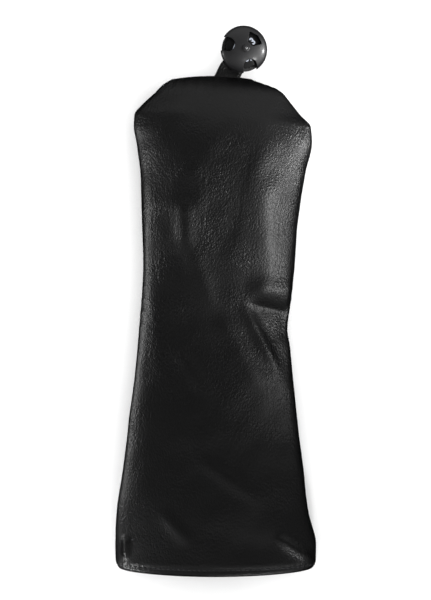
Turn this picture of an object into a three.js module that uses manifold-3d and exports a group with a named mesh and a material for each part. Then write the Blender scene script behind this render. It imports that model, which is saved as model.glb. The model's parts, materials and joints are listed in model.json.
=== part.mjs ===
// A padded leather head cover for a golf driver, with a turning number tag on a short strap.
//
// Millimetres, +Z up. The cover lies on its back: its mouth is at -Y, its crown seam at +Y, and
// its front panel faces up. The origin is on the surface it lies on, below the middle of the
// whole object.
//
// The sleeve is built from two halves, front and back, that meet at the side seams. Every layer
// of a half (leather, padding, lining, elastic) is the same curved section, set in from the
// leather's outer face by a depth, so the layers follow each other when a size changes.

import * as THREE from "three";
import { mergeVertices } from "three/addons/utils/BufferGeometryUtils.js";
import Module from "manifold-3d";

const wasm = await Module();
wasm.setup();

// ---------------------------------------------------------------- sizes of the sleeve

const SLEEVE_LENGTH = 370; // hem to crown seam
const HEM_WIDTH = 149;
const NECK_WIDTH = 110;
const HEAD_WIDTH = 132;
const NECK_FROM_HEM = 192; // middle of the neck
const HEAD_FROM_CROWN = 48; // widest line of the head
const NECK_LEAN = -2; // the neck's middle is this far to the right of the hem's
const HEAD_LEAN = 6; // and the head's middle this far

// The crown seam is straight in the middle, and a shoulder slants from each end of it.
const CROWN_LEFT = 33; // reach of the straight part from the hem's middle line
const CROWN_RIGHT = 36;
const LEFT_SHOULDER = 29; // how far down from the crown the shoulder meets the side
const RIGHT_SHOULDER = 38;
const SHOULDER_ROUNDING = 9;

const HEM_HEIGHT = 34; // the sleeve's thickness as it lies, along its middle
const NECK_HEIGHT = 32;
const HEAD_HEIGHT = 42;
const SEAM_HEIGHT = 16; // the side seams, above the surface the cover lies on
const CROWN_TAPER = 48; // the head thins to the crown seam over this length
const CROWN_BULGE = 1.8; // 1 is a straight wedge, 2 is rounder
const HEM_LIFT = 1.6; // the hem's underside clears the surface, with its stitches
const NECK_LIFT = 2; // and so does the gathered neck
const FRONT_ROUNDNESS = 2.5; // exponent of the section's curve; 2 is an ellipse
const BACK_ROUNDNESS = 5; // flatter, because the cover lies on it

// ---------------------------------------------------------------- layers and trim

const CLEARANCE = 0.3; // between pieces that touch
const LEATHER = 1.2;
const PADDING = 3;
const LINING = 2.5;
const FOLD_RADIUS = 2.2; // outside of the leather's fold at the hem
const HEM_TURN = 25; // how far the leather is turned in at the mouth
const POCKET = 4; // the inner layers stop this far short of the seams
const LAYER_EDGE = 2.6; // and keep this far above or below the seam line
const PADDING_FROM_NECK = 44; // lower edge of the padding, which is only in the head
const ELASTIC_WIDTH = 25;
const ELASTIC = 1.2;
const LAYER_RAMP = 16; // the lining steps over an inner piece within this length

const BINDING = 1.6; // seam allowances in their binding tape
const BINDING_DEPTH = 6.7;
const BINDING_INSET = 1.8; // seam to the tape's outer edge
const CROWN_BINDING_INSET = 5.5; // deeper, because the crown is a wedge
const THREAD = 0.6; // diameter
const SEAM_THREAD_INSET = 4;
const CROWN_THREAD_INSET = 5;
const HEM_STITCH_FROM_HEM = 5;
const ELASTIC_ROW_FROM_EDGE = 4; // stitch rows on the neck elastic

const LABEL_WIDTH = 16;
const LABEL_LENGTH = 28;
const LABEL = 0.5;
const LABEL_FROM_HEM = 46;
const LABEL_MIDDLE = -14; // from the hem's middle line

// ---------------------------------------------------------------- strap and number tag

const STRAP_WIDTH = 18;
const STRAP_END_RADIUS = 7.5;
const STRAP = 2.4; // two plies of leather
const STRAP_TAIL = 12; // the part sewn into the crown seam
const STRAP_RIGHT = 10.5; // where it leaves the crown, to the right of the hem's middle
const STRAP_LEAN = 26; // degrees to the right
const STRAP_PITCH = 4; // degrees down
const STRAP_ROLL = 11; // degrees, right side down
const STRAP_TWIST = 6; // it has turned into the tag's plane within this length
const STRAP_FLEX_GAP = 1.2; // the strap is parted this far on each side of the crown's edge, where it flexes
const STRAP_STITCH_INSET = 2;

const TAG_RADIUS = 17.5;
const TAG_FROM_CROWN = 0.5; // the tag's rim to the crown seam
const TAG_TURN = -17; // degrees from the strap's line, at rest
const BASE = 1.8;
const DOME_SKIRT = 1.3; // straight part of the dome's side
const DOME_RISE = 6.8;
const DOME_WALL = 1.4;
const WINDOW_INNER = 7;
const WINDOW_RIM = 2.5; // from the window to the tag's rim
const WINDOW_HALF_ANGLE = 21; // degrees
const WINDOW_CORNER = 1.4;
const SCALLOP_RADIUS = 5.2;
const SCALLOP_INSET = 4; // its centre, from the tag's rim
const SCALLOP_ANGLE = 120; // degrees from the window, one on each side
const WHEEL_PLAY = 1.7; // wheel's rim to the dome's inside
const WHEEL_RIM = 2;
const WHEEL_RISE = 2.6; // rim to the flat middle
const WHEEL_FLAT_RADIUS = 5.5;
const WHEEL_LIFT = 1.1; // over the base
const KNURLS = 24;
const KNURL_DEPTH = 0.5;
const PIN_RADIUS = 1.6;
const PIN_CLEARANCE = 0.3;
const PIN_HEAD_LIP = 1.1;
const PIN_HEAD = 1;
const CLENCH_LIP = 1.6;
const SPRING_WASHER = 0.5;
const EYELET_WALL = 0.7;
const EYELET_FLANGE = 0.6;
const EYELET_LIP = 1.8;
const PIN_WASHER = 0.5;
const PIN_WASHER_LIP = 2.6;

// How finely the soft layers are divided.
const STATION_STEP = 32;
const CROWN_STATION_STEP = 9;
const SECTION_STEPS = 11; // odd, so that the middle facet of the back is flat
const ROUND_STEPS = 32;
const SMALL_ROUND_STEPS = 16;

// ---------------------------------------------------------------- small helpers

const radians = THREE.MathUtils.degToRad;
const mix = THREE.MathUtils.lerp;
const ease = (value, from, to) => THREE.MathUtils.smoothstep(value, from, to);

// The least of a and b, with the corner between them rounded over a length.
function roundedMin(a, b, rounding) {
  const blend = Math.max(rounding - Math.abs(a - b), 0) / rounding;
  return Math.min(a, b) - (blend * blend * rounding) / 4;
}

// The value at a place on a line through [place, value] points.
function along(points, place) {
  const next = points.findIndex(([at]) => at > place);
  if (next === 0) return points[0][1];
  if (next < 0) return points[points.length - 1][1];
  const [[a, from], [b, to]] = [points[next - 1], points[next]];
  return mix(from, to, (place - a) / (b - a));
}

function solidOf(geometry) {
  const bare = geometry.clone();
  bare.deleteAttribute("normal");
  bare.deleteAttribute("uv");
  const merged = mergeVertices(bare, 1e-4);
  const mesh = new wasm.Mesh({
    numProp: 3,
    vertProperties: new Float32Array(merged.attributes.position.array),
    triVerts: new Uint32Array(merged.index.array),
  });
  return new wasm.Manifold(mesh);
}

function geometryOf(solid) {
  const mesh = solid.getMesh();
  const geometry = new THREE.BufferGeometry();
  geometry.setAttribute("position", new THREE.BufferAttribute(mesh.vertProperties, 3));
  geometry.setIndex(new THREE.BufferAttribute(mesh.triVerts, 1));
  return geometry;
}

// The first geometry with the others cut away.
function cut(geometry, ...tools) {
  return geometryOf(tools.reduce((left, tool) => left.subtract(solidOf(tool)), solidOf(geometry)));
}

// The triangles that fill a ring, in the ring's own direction, found in the plane it faces most.
function filling(ring) {
  const facing = new THREE.Vector3();
  ring.forEach((point, i) => {
    facing.add(new THREE.Vector3().crossVectors(point, ring[(i + 1) % ring.length]));
  });
  const planes = { x: ["y", "z"], y: ["z", "x"], z: ["x", "y"] };
  const most = ["x", "y", "z"].reduce((a, b) => (Math.abs(facing[b]) > Math.abs(facing[a]) ? b : a));
  const [u, v] = planes[most];
  const flat = ring.map((point) => new THREE.Vector2(point[u], point[v]));
  const turned = THREE.ShapeUtils.isClockWise(flat);
  const triangles = THREE.ShapeUtils.triangulateShape(flat, []);
  return turned ? triangles.map(([a, b, c]) => [c, b, a]) : triangles;
}

// A closed solid through rings of points, or a loop of rings, which has no end faces. Each quad
// is divided by the diagonal that starts at its lower y, so that faces that lie together agree.
function loft(rings, loop = false) {
  const count = rings[0].length;
  const faces = [];
  const pairs = loop ? rings.length : rings.length - 1;
  for (let i = 0; i < pairs; i++) {
    const here = i * count;
    const there = ((i + 1) % rings.length) * count;
    for (let j = 0; j < count; j++) {
      const k = (j + 1) % count;
      const [a, b, c, d] = [here + j, here + k, there + k, there + j];
      const rising = rings[i][j].y <= rings[i][k].y;
      faces.push(...(rising ? [[a, b, c], [a, c, d]] : [[a, b, d], [b, c, d]]));
    }
  }
  if (!loop) {
    const last = (rings.length - 1) * count;
    faces.push(...filling(rings[0]).map(([a, b, c]) => [c, b, a]));
    faces.push(...filling(rings.at(-1)).map(([a, b, c]) => [last + a, last + b, last + c]));
  }
  const points = rings.flat();
  const volume = faces.reduce((sum, [a, b, c]) => {
    return sum + points[a].dot(new THREE.Vector3().crossVectors(points[b], points[c]));
  }, 0);
  const outward = volume < 0 ? faces.map(([a, b, c]) => [a, c, b]) : faces;
  const geometry = new THREE.BufferGeometry().setFromPoints(points);
  geometry.setIndex(outward.flat());
  return geometry;
}

// The points of a round section.
function roundOutline(diameter, middleA, middleB, steps = 6) {
  return Array.from({ length: steps }, (_, i) => {
    const turn = (2 * Math.PI * i) / steps;
    const radius = diameter / 2;
    return [middleA + radius * Math.cos(turn), middleB + radius * Math.sin(turn)];
  });
}

function lathe(profile, steps = ROUND_STEPS) {
  const points = [...profile, profile[0]].map(([r, z]) => new THREE.Vector2(r, z));
  return new THREE.LatheGeometry(points, steps).rotateX(Math.PI / 2);
}

// A flat ring, or a disc with a hole, from one height to another.
function ring(inner, outer, low, high) {
  const profile = [
    [inner, low],
    [outer, low],
    [outer, high],
    [inner, high],
  ];
  return lathe(profile, SMALL_ROUND_STEPS);
}

function prism(shape, low, high, curveSegments = 12) {
  const settings = { depth: high - low, bevelEnabled: false, curveSegments };
  return new THREE.ExtrudeGeometry(shape, settings).translate(0, 0, low);
}

// ---------------------------------------------------------------- the sleeve's shape

const headFromHem = SLEEVE_LENGTH - HEAD_FROM_CROWN;
const paddingFromHem = NECK_FROM_HEM + PADDING_FROM_NECK;

// How far a side's outline lies from the hem's middle line, at a distance from the hem.
function sideReach(side, shoulderLength, crownReach) {
  const headReach = HEAD_WIDTH / 2 + side * HEAD_LEAN;
  return (y) => {
    const toNeck = ease(y, 0, NECK_FROM_HEM);
    const toHead = ease(y, NECK_FROM_HEM, headFromHem);
    const skirt = mix(HEM_WIDTH / 2, NECK_WIDTH / 2 + side * NECK_LEAN, toNeck);
    const body = mix(skirt, headReach, toHead);
    const toCrown = 1 - (SLEEVE_LENGTH - y) / shoulderLength;
    return roundedMin(body, mix(headReach, crownReach, toCrown), SHOULDER_ROUNDING);
  };
}

const reachOf = {
  [-1]: sideReach(-1, LEFT_SHOULDER, CROWN_LEFT),
  [1]: sideReach(1, RIGHT_SHOULDER, CROWN_RIGHT),
};

const taper = (y) => {
  const share = Math.min(Math.max((SLEEVE_LENGTH - y) / CROWN_TAPER, 0), 1);
  return 1 - (1 - share) ** CROWN_BULGE;
};

// Heights above and below the seam line, along the sleeve's middle.
const riseOf = {
  front: (y) => {
    const skirt = mix(HEM_HEIGHT, NECK_HEIGHT, ease(y, 0, NECK_FROM_HEM));
    const head = (HEAD_HEIGHT - NECK_HEIGHT) * ease(y, NECK_FROM_HEM, headFromHem);
    return (skirt + head - SEAM_HEIGHT) * taper(y);
  },
  back: (y) => {
    const hem = HEM_LIFT * (1 - ease(y, HEM_TURN / 2, HEM_TURN));
    const fromNeck = Math.abs(y - NECK_FROM_HEM);
    const neck = NECK_LIFT * (1 - ease(fromNeck, ELASTIC_WIDTH / 2, 2 * ELASTIC_WIDTH));
    return (SEAM_HEIGHT - hem - neck) * taper(y);
  },
};

// How much longer a depth is along an axis than square to a surface that slopes along y.
function stretch(f, y) {
  const step = 0.5;
  const [a, b] = [Math.max(y - step, 0), Math.min(y + step, SLEEVE_LENGTH)];
  return Math.hypot(1, (f(b) - f(a)) / (b - a));
}

// Where a depth inside a side's outline lies, across from the hem's middle line.
const edgeAt = (side, y, depth) => side * (reachOf[side](y) - depth * stretch(reachOf[side], y));

// The room that a depth leaves between itself and the seam line, along the sleeve's middle.
const roomAt = (half, y, depth) => riseOf[half](y) - depth * stretch(riseOf[half], y);

// The unit section of a half: across from 1 to -1, and up from 0 to 1 and back.
function sectionOf(roundness) {
  const power = 2 / roundness;
  const raw = Array.from({ length: SECTION_STEPS + 1 }, (_, i) => {
    const turn = (Math.PI * i) / SECTION_STEPS;
    const across = Math.sign(Math.cos(turn)) * Math.abs(Math.cos(turn)) ** power;
    return [across, Math.abs(Math.sin(turn)) ** power];
  });
  const top = Math.max(...raw.map(([, up]) => up));
  raw[0] = [1, 0];
  raw[SECTION_STEPS] = [-1, 0];
  return raw.map(([across, up]) => [across, up / top]);
}

const sections = { front: sectionOf(FRONT_ROUNDNESS), back: sectionOf(BACK_ROUNDNESS) };
const upward = { front: 1, back: -1 };

// A point of a half, at a depth inside the leather's outer face. The leather's own halves part
// at the seam line; inner layers are in a pocket that stops short of it.
const LEATHER_FAMILY = { stop: 0, edge: CLEARANCE / 2 };
const INNER_FAMILY = { stop: POCKET, edge: LAYER_EDGE };

function sleevePoint(half, y, depth, [across, up], { stop, edge }) {
  const x = mix(edgeAt(-1, y, depth + stop), edgeAt(1, y, depth + stop), (1 + across) / 2);
  const height = edge + Math.max(roomAt(half, y, depth) - edge, 0) * up;
  return new THREE.Vector3(x, y, SEAM_HEIGHT + upward[half] * height);
}


const elasticFrom = NECK_FROM_HEM - ELASTIC_WIDTH / 2;
const elasticTo = NECK_FROM_HEM + ELASTIC_WIDTH / 2;
const underLeather = LEATHER + CLEARANCE;
const underElastic = underLeather + ELASTIC + CLEARANCE;
const underPadding = underLeather + PADDING + CLEARANCE;

// Depth of the lining's outer face, which steps over the elastic and the padding.
const liningDepth = {
  front: [
    [paddingFromHem - LAYER_RAMP, underLeather],
    [paddingFromHem - CLEARANCE, underPadding],
  ],
  back: [
    [elasticFrom - LAYER_RAMP, underLeather],
    [elasticFrom - CLEARANCE, underElastic],
    [elasticTo + CLEARANCE, underElastic],
    [paddingFromHem - CLEARANCE, underPadding],
  ],
};

// Every layer is divided at the same stations, so that facets lie parallel.
const stations = (() => {
  const crownFrom = SLEEVE_LENGTH - CROWN_TAPER;
  const places = [elasticFrom, elasticTo, paddingFromHem, HEM_TURN / 2, HEM_TURN];
  for (const half of ["front", "back"]) places.push(...liningDepth[half].map(([at]) => at));
  const bodySteps = Math.ceil(crownFrom / STATION_STEP);
  for (let i = 0; i <= bodySteps; i++) places.push((crownFrom * i) / bodySteps);
  const crownSteps = Math.ceil(CROWN_TAPER / CROWN_STATION_STEP);
  for (let i = 1; i <= crownSteps; i++) places.push(crownFrom + (CROWN_TAPER * i) / crownSteps);
  return places.sort((a, b) => a - b);
})();

// The stations between two places, with both ends.
function stationsFrom(start, end) {
  const least = 1.5; // a shorter step is left out
  const within = stations.filter((y) => y > start + least && y < end - least);
  const spaced = within.filter((y, i) => i === 0 || y - within[i - 1] > least);
  return [start, ...spaced, end];
}

// ---------------------------------------------------------------- pieces of the sleeve

// Where an inner layer ends at the crown: the last station with room for a depth.
function lastStation(half, depth) {
  const least = LAYER_EDGE + 0.5;
  return stations.findLast((y) => roomAt(half, y, depth) > least);
}

// Where the leather's inside ends: the halves meet at the crown seam.
function leatherEnd(half) {
  let y = SLEEVE_LENGTH;
  while (roomAt(half, y, LEATHER) < CLEARANCE) y -= 0.1;
  return y;
}

// An outline in distance from the hem and depth, swept across a half from seam to seam.
function sweepAcross(half, outline, family) {
  const rings = sections[half].map((place) => {
    return outline.map(([y, depth]) => sleevePoint(half, y, depth, place, family));
  });
  return loft(rings);
}

// An outline in depth and height over the seam line, swept up one side seam.
function sweepSeam(side, outline, start, end) {
  const rings = stationsFrom(start, end).map((y) => {
    return outline.map(([depth, height]) => {
      return new THREE.Vector3(edgeAt(side, y, depth), y, SEAM_HEIGHT + height);
    });
  });
  return loft(rings);
}

// A layer between two depths, each a function of the distance from the hem.
function layer(half, start, ends, outerDepth, thickness) {
  const outer = stationsFrom(start, ends[0]).map((y) => [y, outerDepth(y)]);
  const inner = stationsFrom(start, ends[1]).map((y) => [y, outerDepth(y) + thickness]);
  return sweepAcross(half, [...outer, ...inner.reverse()], INNER_FAMILY);
}

// An outer leather panel, with its turned-in hem.
function panel(half) {
  const bend = (radius, from, to) =>
    [0, 1, 2, 3, 4].map((i) => {
      const turn = radians(mix(from, to, i / 4));
      return [FOLD_RADIUS - radius * Math.cos(turn), FOLD_RADIUS - radius * Math.sin(turn)];
    });
    const facing = 2 * FOLD_RADIUS;
  const outer = stationsFrom(FOLD_RADIUS, SLEEVE_LENGTH).map((y) => [y, 0]);
  const inner = stationsFrom(FOLD_RADIUS, leatherEnd(half)).map((y) => [y, LEATHER]);
  const outline = [
    ...outer.reverse(),
    ...bend(FOLD_RADIUS, 90, -90).slice(1),
    [HEM_TURN / 2, facing],
    [HEM_TURN, facing],
    [HEM_TURN, facing - LEATHER],
    [HEM_TURN / 2, facing - LEATHER],
    ...bend(FOLD_RADIUS - LEATHER, -90, 90).slice(0, -1),
    ...inner,
  ];
  return cut(sweepAcross(half, outline, LEATHER_FAMILY), strapSlot());
}

function padding(half) {
  const ends = [underLeather, underLeather + PADDING].map((depth) => lastStation(half, depth));
  return layer(half, paddingFromHem, ends, () => underLeather, PADDING);
}

function lining(half) {
  const depth = (y) => along(liningDepth[half], y);
  const ends = [underPadding, underPadding + LINING].map((at) => lastStation(half, at));
  return layer(half, HEM_TURN + CLEARANCE, ends, depth, LINING);
}

function neckElastic() {
  return layer("back", elasticFrom, [elasticTo, elasticTo], () => underLeather, ELASTIC);
}

const seamStart = HEM_TURN + 1;
const seamEnd = SLEEVE_LENGTH - CROWN_BINDING_INSET - BINDING_DEPTH - CLEARANCE;

function sideBinding(side) {
  const [near, far] = [BINDING_INSET, BINDING_INSET + BINDING_DEPTH];
  const half = BINDING / 2;
  const outline = [
    [near, -half],
    [far, -half],
    [far, half],
    [near, half],
  ];
  return sweepSeam(side, outline, seamStart, seamEnd);
}

function sideThread(side) {
  const height = BINDING / 2 + CLEARANCE + THREAD / 2;
  return sweepSeam(side, roundOutline(THREAD, SEAM_THREAD_INSET, height), seamStart, seamEnd);
}

// The crown's binding stops at each side of the strap's sewn-in tail.
function crownBinding(side) {
  const top = SLEEVE_LENGTH - CROWN_BINDING_INSET;
  const outer = edgeAt(side, top, BINDING_INSET + POCKET);
  const middle = STRAP_RIGHT - STRAP_TAIL * Math.sin(radians(STRAP_LEAN)) / 2;
  const tape = new THREE.BoxGeometry(Math.abs(outer - middle), BINDING_DEPTH, BINDING);
  tape.translate((outer + middle) / 2, top - BINDING_DEPTH / 2, SEAM_HEIGHT);
  return cut(tape, strapSlot());
}

function crownThread() {
  const y = SLEEVE_LENGTH - CROWN_THREAD_INSET;
  const height = SEAM_HEIGHT + STRAP / 2 + CLEARANCE + THREAD / 2;
  const section = roundOutline(THREAD, y, height);
  const rings = [-CROWN_LEFT, CROWN_RIGHT].map((end) => {
    const x = end - Math.sign(end) * 2 * POCKET;
    return section.map(([a, b]) => new THREE.Vector3(x, a, b));
  });
  return loft(rings);
}

// A stitch row on the leather's outer face: all the way round, or across one half only.
function stitchRow(y, halves) {
  const outline = roundOutline(THREAD, y, -CLEARANCE - THREAD / 2);
  const family = { stop: 0, edge: halves.length > 1 ? 0 : LAYER_EDGE };
  const rings = halves.flatMap((half, i) => {
    const places = i ? sections[half].slice(1, -1).reverse() : sections[half];
    return places.map((place) => {
      return outline.map(([at, depth]) => sleevePoint(half, at, depth, place, family));
    });
  });
  return loft(rings, halves.length > 1);
}

// The label lies flat on the back lining.
function blankLabel() {
  const y = LABEL_FROM_HEM + LABEL_LENGTH / 2;
  const bottom = SEAM_HEIGHT - roomAt("back", y, underLeather + LINING + CLEARANCE);
  const label = new THREE.BoxGeometry(LABEL_WIDTH, LABEL_LENGTH, LABEL);
  return label.translate(LABEL_MIDDLE, y, bottom + LABEL / 2);
}

// ---------------------------------------------------------------- the strap

const strapToPin = (TAG_RADIUS + TAG_FROM_CROWN) / Math.cos(radians(STRAP_LEAN));
const boreRadius = PIN_RADIUS + PIN_CLEARANCE;
const eyeletRadius = boreRadius + EYELET_WALL;

// A frame with its origin where the strap leaves the crown, and +Y along the strap.
function strapFrame() {
  const frame = new THREE.Group();
  frame.position.set(STRAP_RIGHT, SLEEVE_LENGTH, SEAM_HEIGHT);
  frame.rotation.z = -radians(STRAP_LEAN);
  return frame;
}

function inStrapFrame(geometry) {
  const frame = strapFrame();
  frame.updateMatrix();
  return geometry.applyMatrix4(frame.matrix);
}

// The room for the strap in the crown seam, open at the crown.
function strapSlot() {
  const start = -STRAP_TAIL - CLEARANCE;
  const end = crownLine(CLEARANCE, STRAP_WIDTH);
  const slot = new THREE.BoxGeometry(STRAP_WIDTH + 2 * CLEARANCE, end - start, STRAP + 2 * CLEARANCE);
  return inStrapFrame(slot.translate(0, (start + end) / 2, 0));
}

// Where a line at a distance outside the crown crosses the strap, at a place across it.
const crownLine = (outside, across) => {
  const lean = radians(STRAP_LEAN);
  return (outside + across * Math.sin(lean)) / Math.cos(lean);
};

// A strip of strap between two lines across it, flat, in the strap's frame.
function strapStrip(startAt, endAt) {
  const half = STRAP_WIDTH / 2;
  const shape = new THREE.Shape([
    new THREE.Vector2(-half, startAt(-half)),
    new THREE.Vector2(half, startAt(half)),
    new THREE.Vector2(half, endAt(half)),
    new THREE.Vector2(-half, endAt(-half)),
  ]);
  return prism(shape, -STRAP / 2, STRAP / 2);
}

function strapTail() {
  const start = () => -STRAP_TAIL;
  const end = (across) => crownLine(-STRAP_FLEX_GAP, across);
  return strapStrip(start, end);
}

// How far the strap is turned and lowered at a distance along it: it twists into the tag's plane.
const strapRoll = (s) => radians(STRAP_ROLL) * ease(s, 0, STRAP_TWIST);
const strapDrop = (s) => -Math.tan(radians(STRAP_PITCH)) * Math.max(s, 0);

function strapPoint(across, s, height) {
  const roll = strapRoll(s);
  const x = across * Math.cos(roll) + height * Math.sin(roll);
  const z = height * Math.cos(roll) - across * Math.sin(roll);
  return new THREE.Vector3(x, s, strapDrop(s) + z);
}

// Half the strap's width: it narrows to the round end that the pin goes through.
function strapHalfWidth(s) {
  const narrowed = mix(STRAP_WIDTH / 2, STRAP_END_RADIUS, ease(s, 0, strapToPin));
  const past = Math.max(s - strapToPin, 0);
  return Math.min(narrowed, Math.sqrt(Math.max(STRAP_END_RADIUS ** 2 - past ** 2, 0)));
}

function freeStrap() {
  const roundEnd = [20, 40, 60, 80].map((a) => strapToPin + STRAP_END_RADIUS * Math.sin(radians(a)));
  const straight = [0, 0.15, 0.3, 0.45, 0.6, 0.8, 1].map((share) => share * strapToPin);
  const columns = [-1, -0.5, 0, 0.5, 1];
  const outline = [
    ...columns.map((c) => [c, STRAP / 2]),
    ...columns.toReversed().map((c) => [c, -STRAP / 2]),
  ];
  const rings = [...straight, ...roundEnd].map((s) => {
    const half = strapHalfWidth(s);
    const rootShare = Math.max(1 - s / strapToPin, 0) ** 2;
    return outline.map(([share, height]) => {
      const across = share * half;
      return strapPoint(across, s + rootShare * crownLine(STRAP_FLEX_GAP, across), height);
    });
  });
  const hole = new THREE.CylinderGeometry(eyeletRadius + CLEARANCE, eyeletRadius + CLEARANCE, 4 * STRAP, 24);
  hole.rotateX(Math.PI / 2);
  hole.applyMatrix4(tagPlace());
  return cut(loft(rings), hole);
}

// The row of stitches inside the strap's edge, up one side, round the end and down the other.
function strapThread() {
  const height = STRAP / 2 + CLEARANCE + THREAD / 2;
  const start = crownLine(STRAP_FLEX_GAP, STRAP_WIDTH / 2) + 2 * THREAD;
  const inset = (s) => strapHalfWidth(s) - STRAP_STITCH_INSET;
  const side = [0, 0.33, 0.66, 1].map((share) => mix(start, strapToPin, share));
  const endRadius = STRAP_END_RADIUS - STRAP_STITCH_INSET;
  const end = [30, 60, 90, 120, 150].map((a) => [
    -endRadius * Math.cos(radians(a)),
    strapToPin + endRadius * Math.sin(radians(a)),
  ]);
  const route = [
    ...side.map((s) => [-inset(s), s]),
    ...end,
    ...side.toReversed().map((s) => [inset(s), s]),
  ].map(([across, s]) => strapPoint(across, s, height));
  const curve = new THREE.CatmullRomCurve3(route);
  const section = new THREE.Shape(roundOutline(THREAD, 0, 0).map(([a, b]) => new THREE.Vector2(a, b)));
  return new THREE.ExtrudeGeometry(section, { steps: 24, extrudePath: curve, bevelEnabled: false });
}

// ---------------------------------------------------------------- the number tag

// Heights in the tag's own frame, whose origin is the middle of the base's underside.
const flangeTop = -CLEARANCE;
const strapTop = flangeTop - EYELET_FLANGE - CLEARANCE;
const strapBottom = strapTop - STRAP;
const eyeletBottom = strapBottom - CLEARANCE - EYELET_FLANGE;
const pinWasherTop = eyeletBottom - CLEARANCE;
const clenchTop = pinWasherTop - PIN_WASHER - CLEARANCE;
const domeBottom = BASE + CLEARANCE;
const wheelBottom = BASE + WHEEL_LIFT;
const wheelRimTop = wheelBottom + WHEEL_RIM;
const wheelRadius = TAG_RADIUS - DOME_WALL - WHEEL_PLAY;
const windowOuter = TAG_RADIUS - WINDOW_RIM;

// The tag's frame within the strap's.
function tagPlace() {
  const pitch = new THREE.Matrix4().makeRotationX(-radians(STRAP_PITCH));
  const roll = new THREE.Matrix4().makeRotationY(radians(STRAP_ROLL));
  const lift = new THREE.Matrix4().makeTranslation(0, 0, STRAP / 2 - strapTop);
  const atPin = new THREE.Matrix4().makeTranslation(0, strapToPin, strapDrop(strapToPin));
  return atPin.multiply(pitch).multiply(roll).multiply(lift);
}

// Height of the dome's outer or inner face at a radius.
function domeHeight(radius, wall) {
  const share = Math.min(radius / (TAG_RADIUS - wall), 1);
  return domeBottom + DOME_SKIRT + (DOME_RISE - wall) * Math.sqrt(1 - share * share);
}

function domeProfile() {
  const steps = 6;
  const face = (wall) =>
    Array.from({ length: steps + 1 }, (_, i) => {
      const radius = mix(boreRadius, TAG_RADIUS - wall, Math.sin((Math.PI / 2) * (i / steps)));
      return [radius, domeHeight(radius, wall)];
    });
  const [outer, inner] = [face(0), face(DOME_WALL)];
  return [...inner, [TAG_RADIUS - DOME_WALL, domeBottom], [TAG_RADIUS, domeBottom], ...outer.reverse()];
}

// The window: part of a ring, with rounded corners, centred on +Y.
function windowTool() {
  const half = radians(WINDOW_HALF_ANGLE);
  const corner = (radius) => WINDOW_CORNER / radius;
  const at = (radius, turn) => [radius * Math.sin(turn), radius * Math.cos(turn)];
  const shape = new THREE.Shape();
  shape.moveTo(...at(windowOuter, -half + corner(windowOuter)));
  for (let i = -4; i <= 4; i++) {
    shape.lineTo(...at(windowOuter, (i / 4) * (half - corner(windowOuter))));
  }
  const bend = (radius, side, inward) =>
    shape.quadraticCurveTo(...at(radius, side * half), ...at(radius + inward * WINDOW_CORNER, side * half));
  bend(windowOuter, 1, -1);
  shape.lineTo(...at(WINDOW_INNER + WINDOW_CORNER, half));
  shape.quadraticCurveTo(...at(WINDOW_INNER, half), ...at(WINDOW_INNER, half - corner(WINDOW_INNER)));
  shape.lineTo(...at(WINDOW_INNER, -half + corner(WINDOW_INNER)));
  bend(WINDOW_INNER, -1, 1);
  shape.lineTo(...at(windowOuter - WINDOW_CORNER, -half));
  shape.quadraticCurveTo(
    ...at(windowOuter, -half),
    ...at(windowOuter, -half + corner(windowOuter)),
  );
  return prism(shape, domeBottom - 1, domeBottom + DOME_SKIRT + DOME_RISE + 1, 5);
}

// A thumb scallop: a round-ended slot, open at the rim.
function scallopTool(side) {
  const shape = new THREE.Shape();
  shape.absarc(0, TAG_RADIUS - SCALLOP_INSET, SCALLOP_RADIUS, Math.PI, 2 * Math.PI, false);
  shape.lineTo(SCALLOP_RADIUS, TAG_RADIUS + SCALLOP_RADIUS);
  shape.lineTo(-SCALLOP_RADIUS, TAG_RADIUS + SCALLOP_RADIUS);
  const tool = prism(shape, domeBottom - 1, domeBottom + DOME_SKIRT + DOME_RISE + 1, 14);
  return tool.rotateZ(side * radians(SCALLOP_ANGLE));
}

function tagDome() {
  return cut(lathe(domeProfile()), windowTool(), scallopTool(1), scallopTool(-1));
}

function tagBase() {
  const bossRadius = 2 * boreRadius;
  const bossTop = wheelBottom - CLEARANCE;
  return lathe([
    [boreRadius, 0],
    [TAG_RADIUS - 0.5, 0],
    [TAG_RADIUS, 0.5],
    [TAG_RADIUS, BASE],
    [bossRadius, BASE],
    [bossRadius, bossTop],
    [boreRadius, bossTop],
  ]);
}

// The number wheel: a shallow cone with a knurled rim.
function numberWheel() {
  const cone = lathe([
    [boreRadius, wheelBottom],
    [wheelRadius - 2 * KNURL_DEPTH, wheelBottom],
    [wheelRadius - 2 * KNURL_DEPTH, wheelRimTop],
    [WHEEL_FLAT_RADIUS, wheelRimTop + WHEEL_RISE],
    [boreRadius, wheelRimTop + WHEEL_RISE],
  ]);
  const rim = new THREE.Shape(
    Array.from({ length: 3 * KNURLS }, (_, i) => {
      const turn = (2 * Math.PI * i) / (3 * KNURLS);
      const radius = wheelRadius - (i % 3 === 0 ? KNURL_DEPTH : 0);
      return new THREE.Vector2(radius * Math.cos(turn), radius * Math.sin(turn));
    }),
  );
  const inside = new THREE.Path().absarc(0, 0, wheelRadius - 4 * KNURL_DEPTH, 0, 2 * Math.PI, true);
  rim.holes.push(inside);
  const rimSolid = solidOf(prism(rim, wheelBottom, wheelRimTop, ROUND_STEPS / 4));
  return geometryOf(solidOf(cone).add(rimSolid));
}

function springWasher() {
  const low = BASE + (WHEEL_LIFT - SPRING_WASHER) / 2;
  return ring(2 * boreRadius + CLEARANCE, WHEEL_FLAT_RADIUS + 2 * CLEARANCE, low, low + SPRING_WASHER);
}

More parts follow.
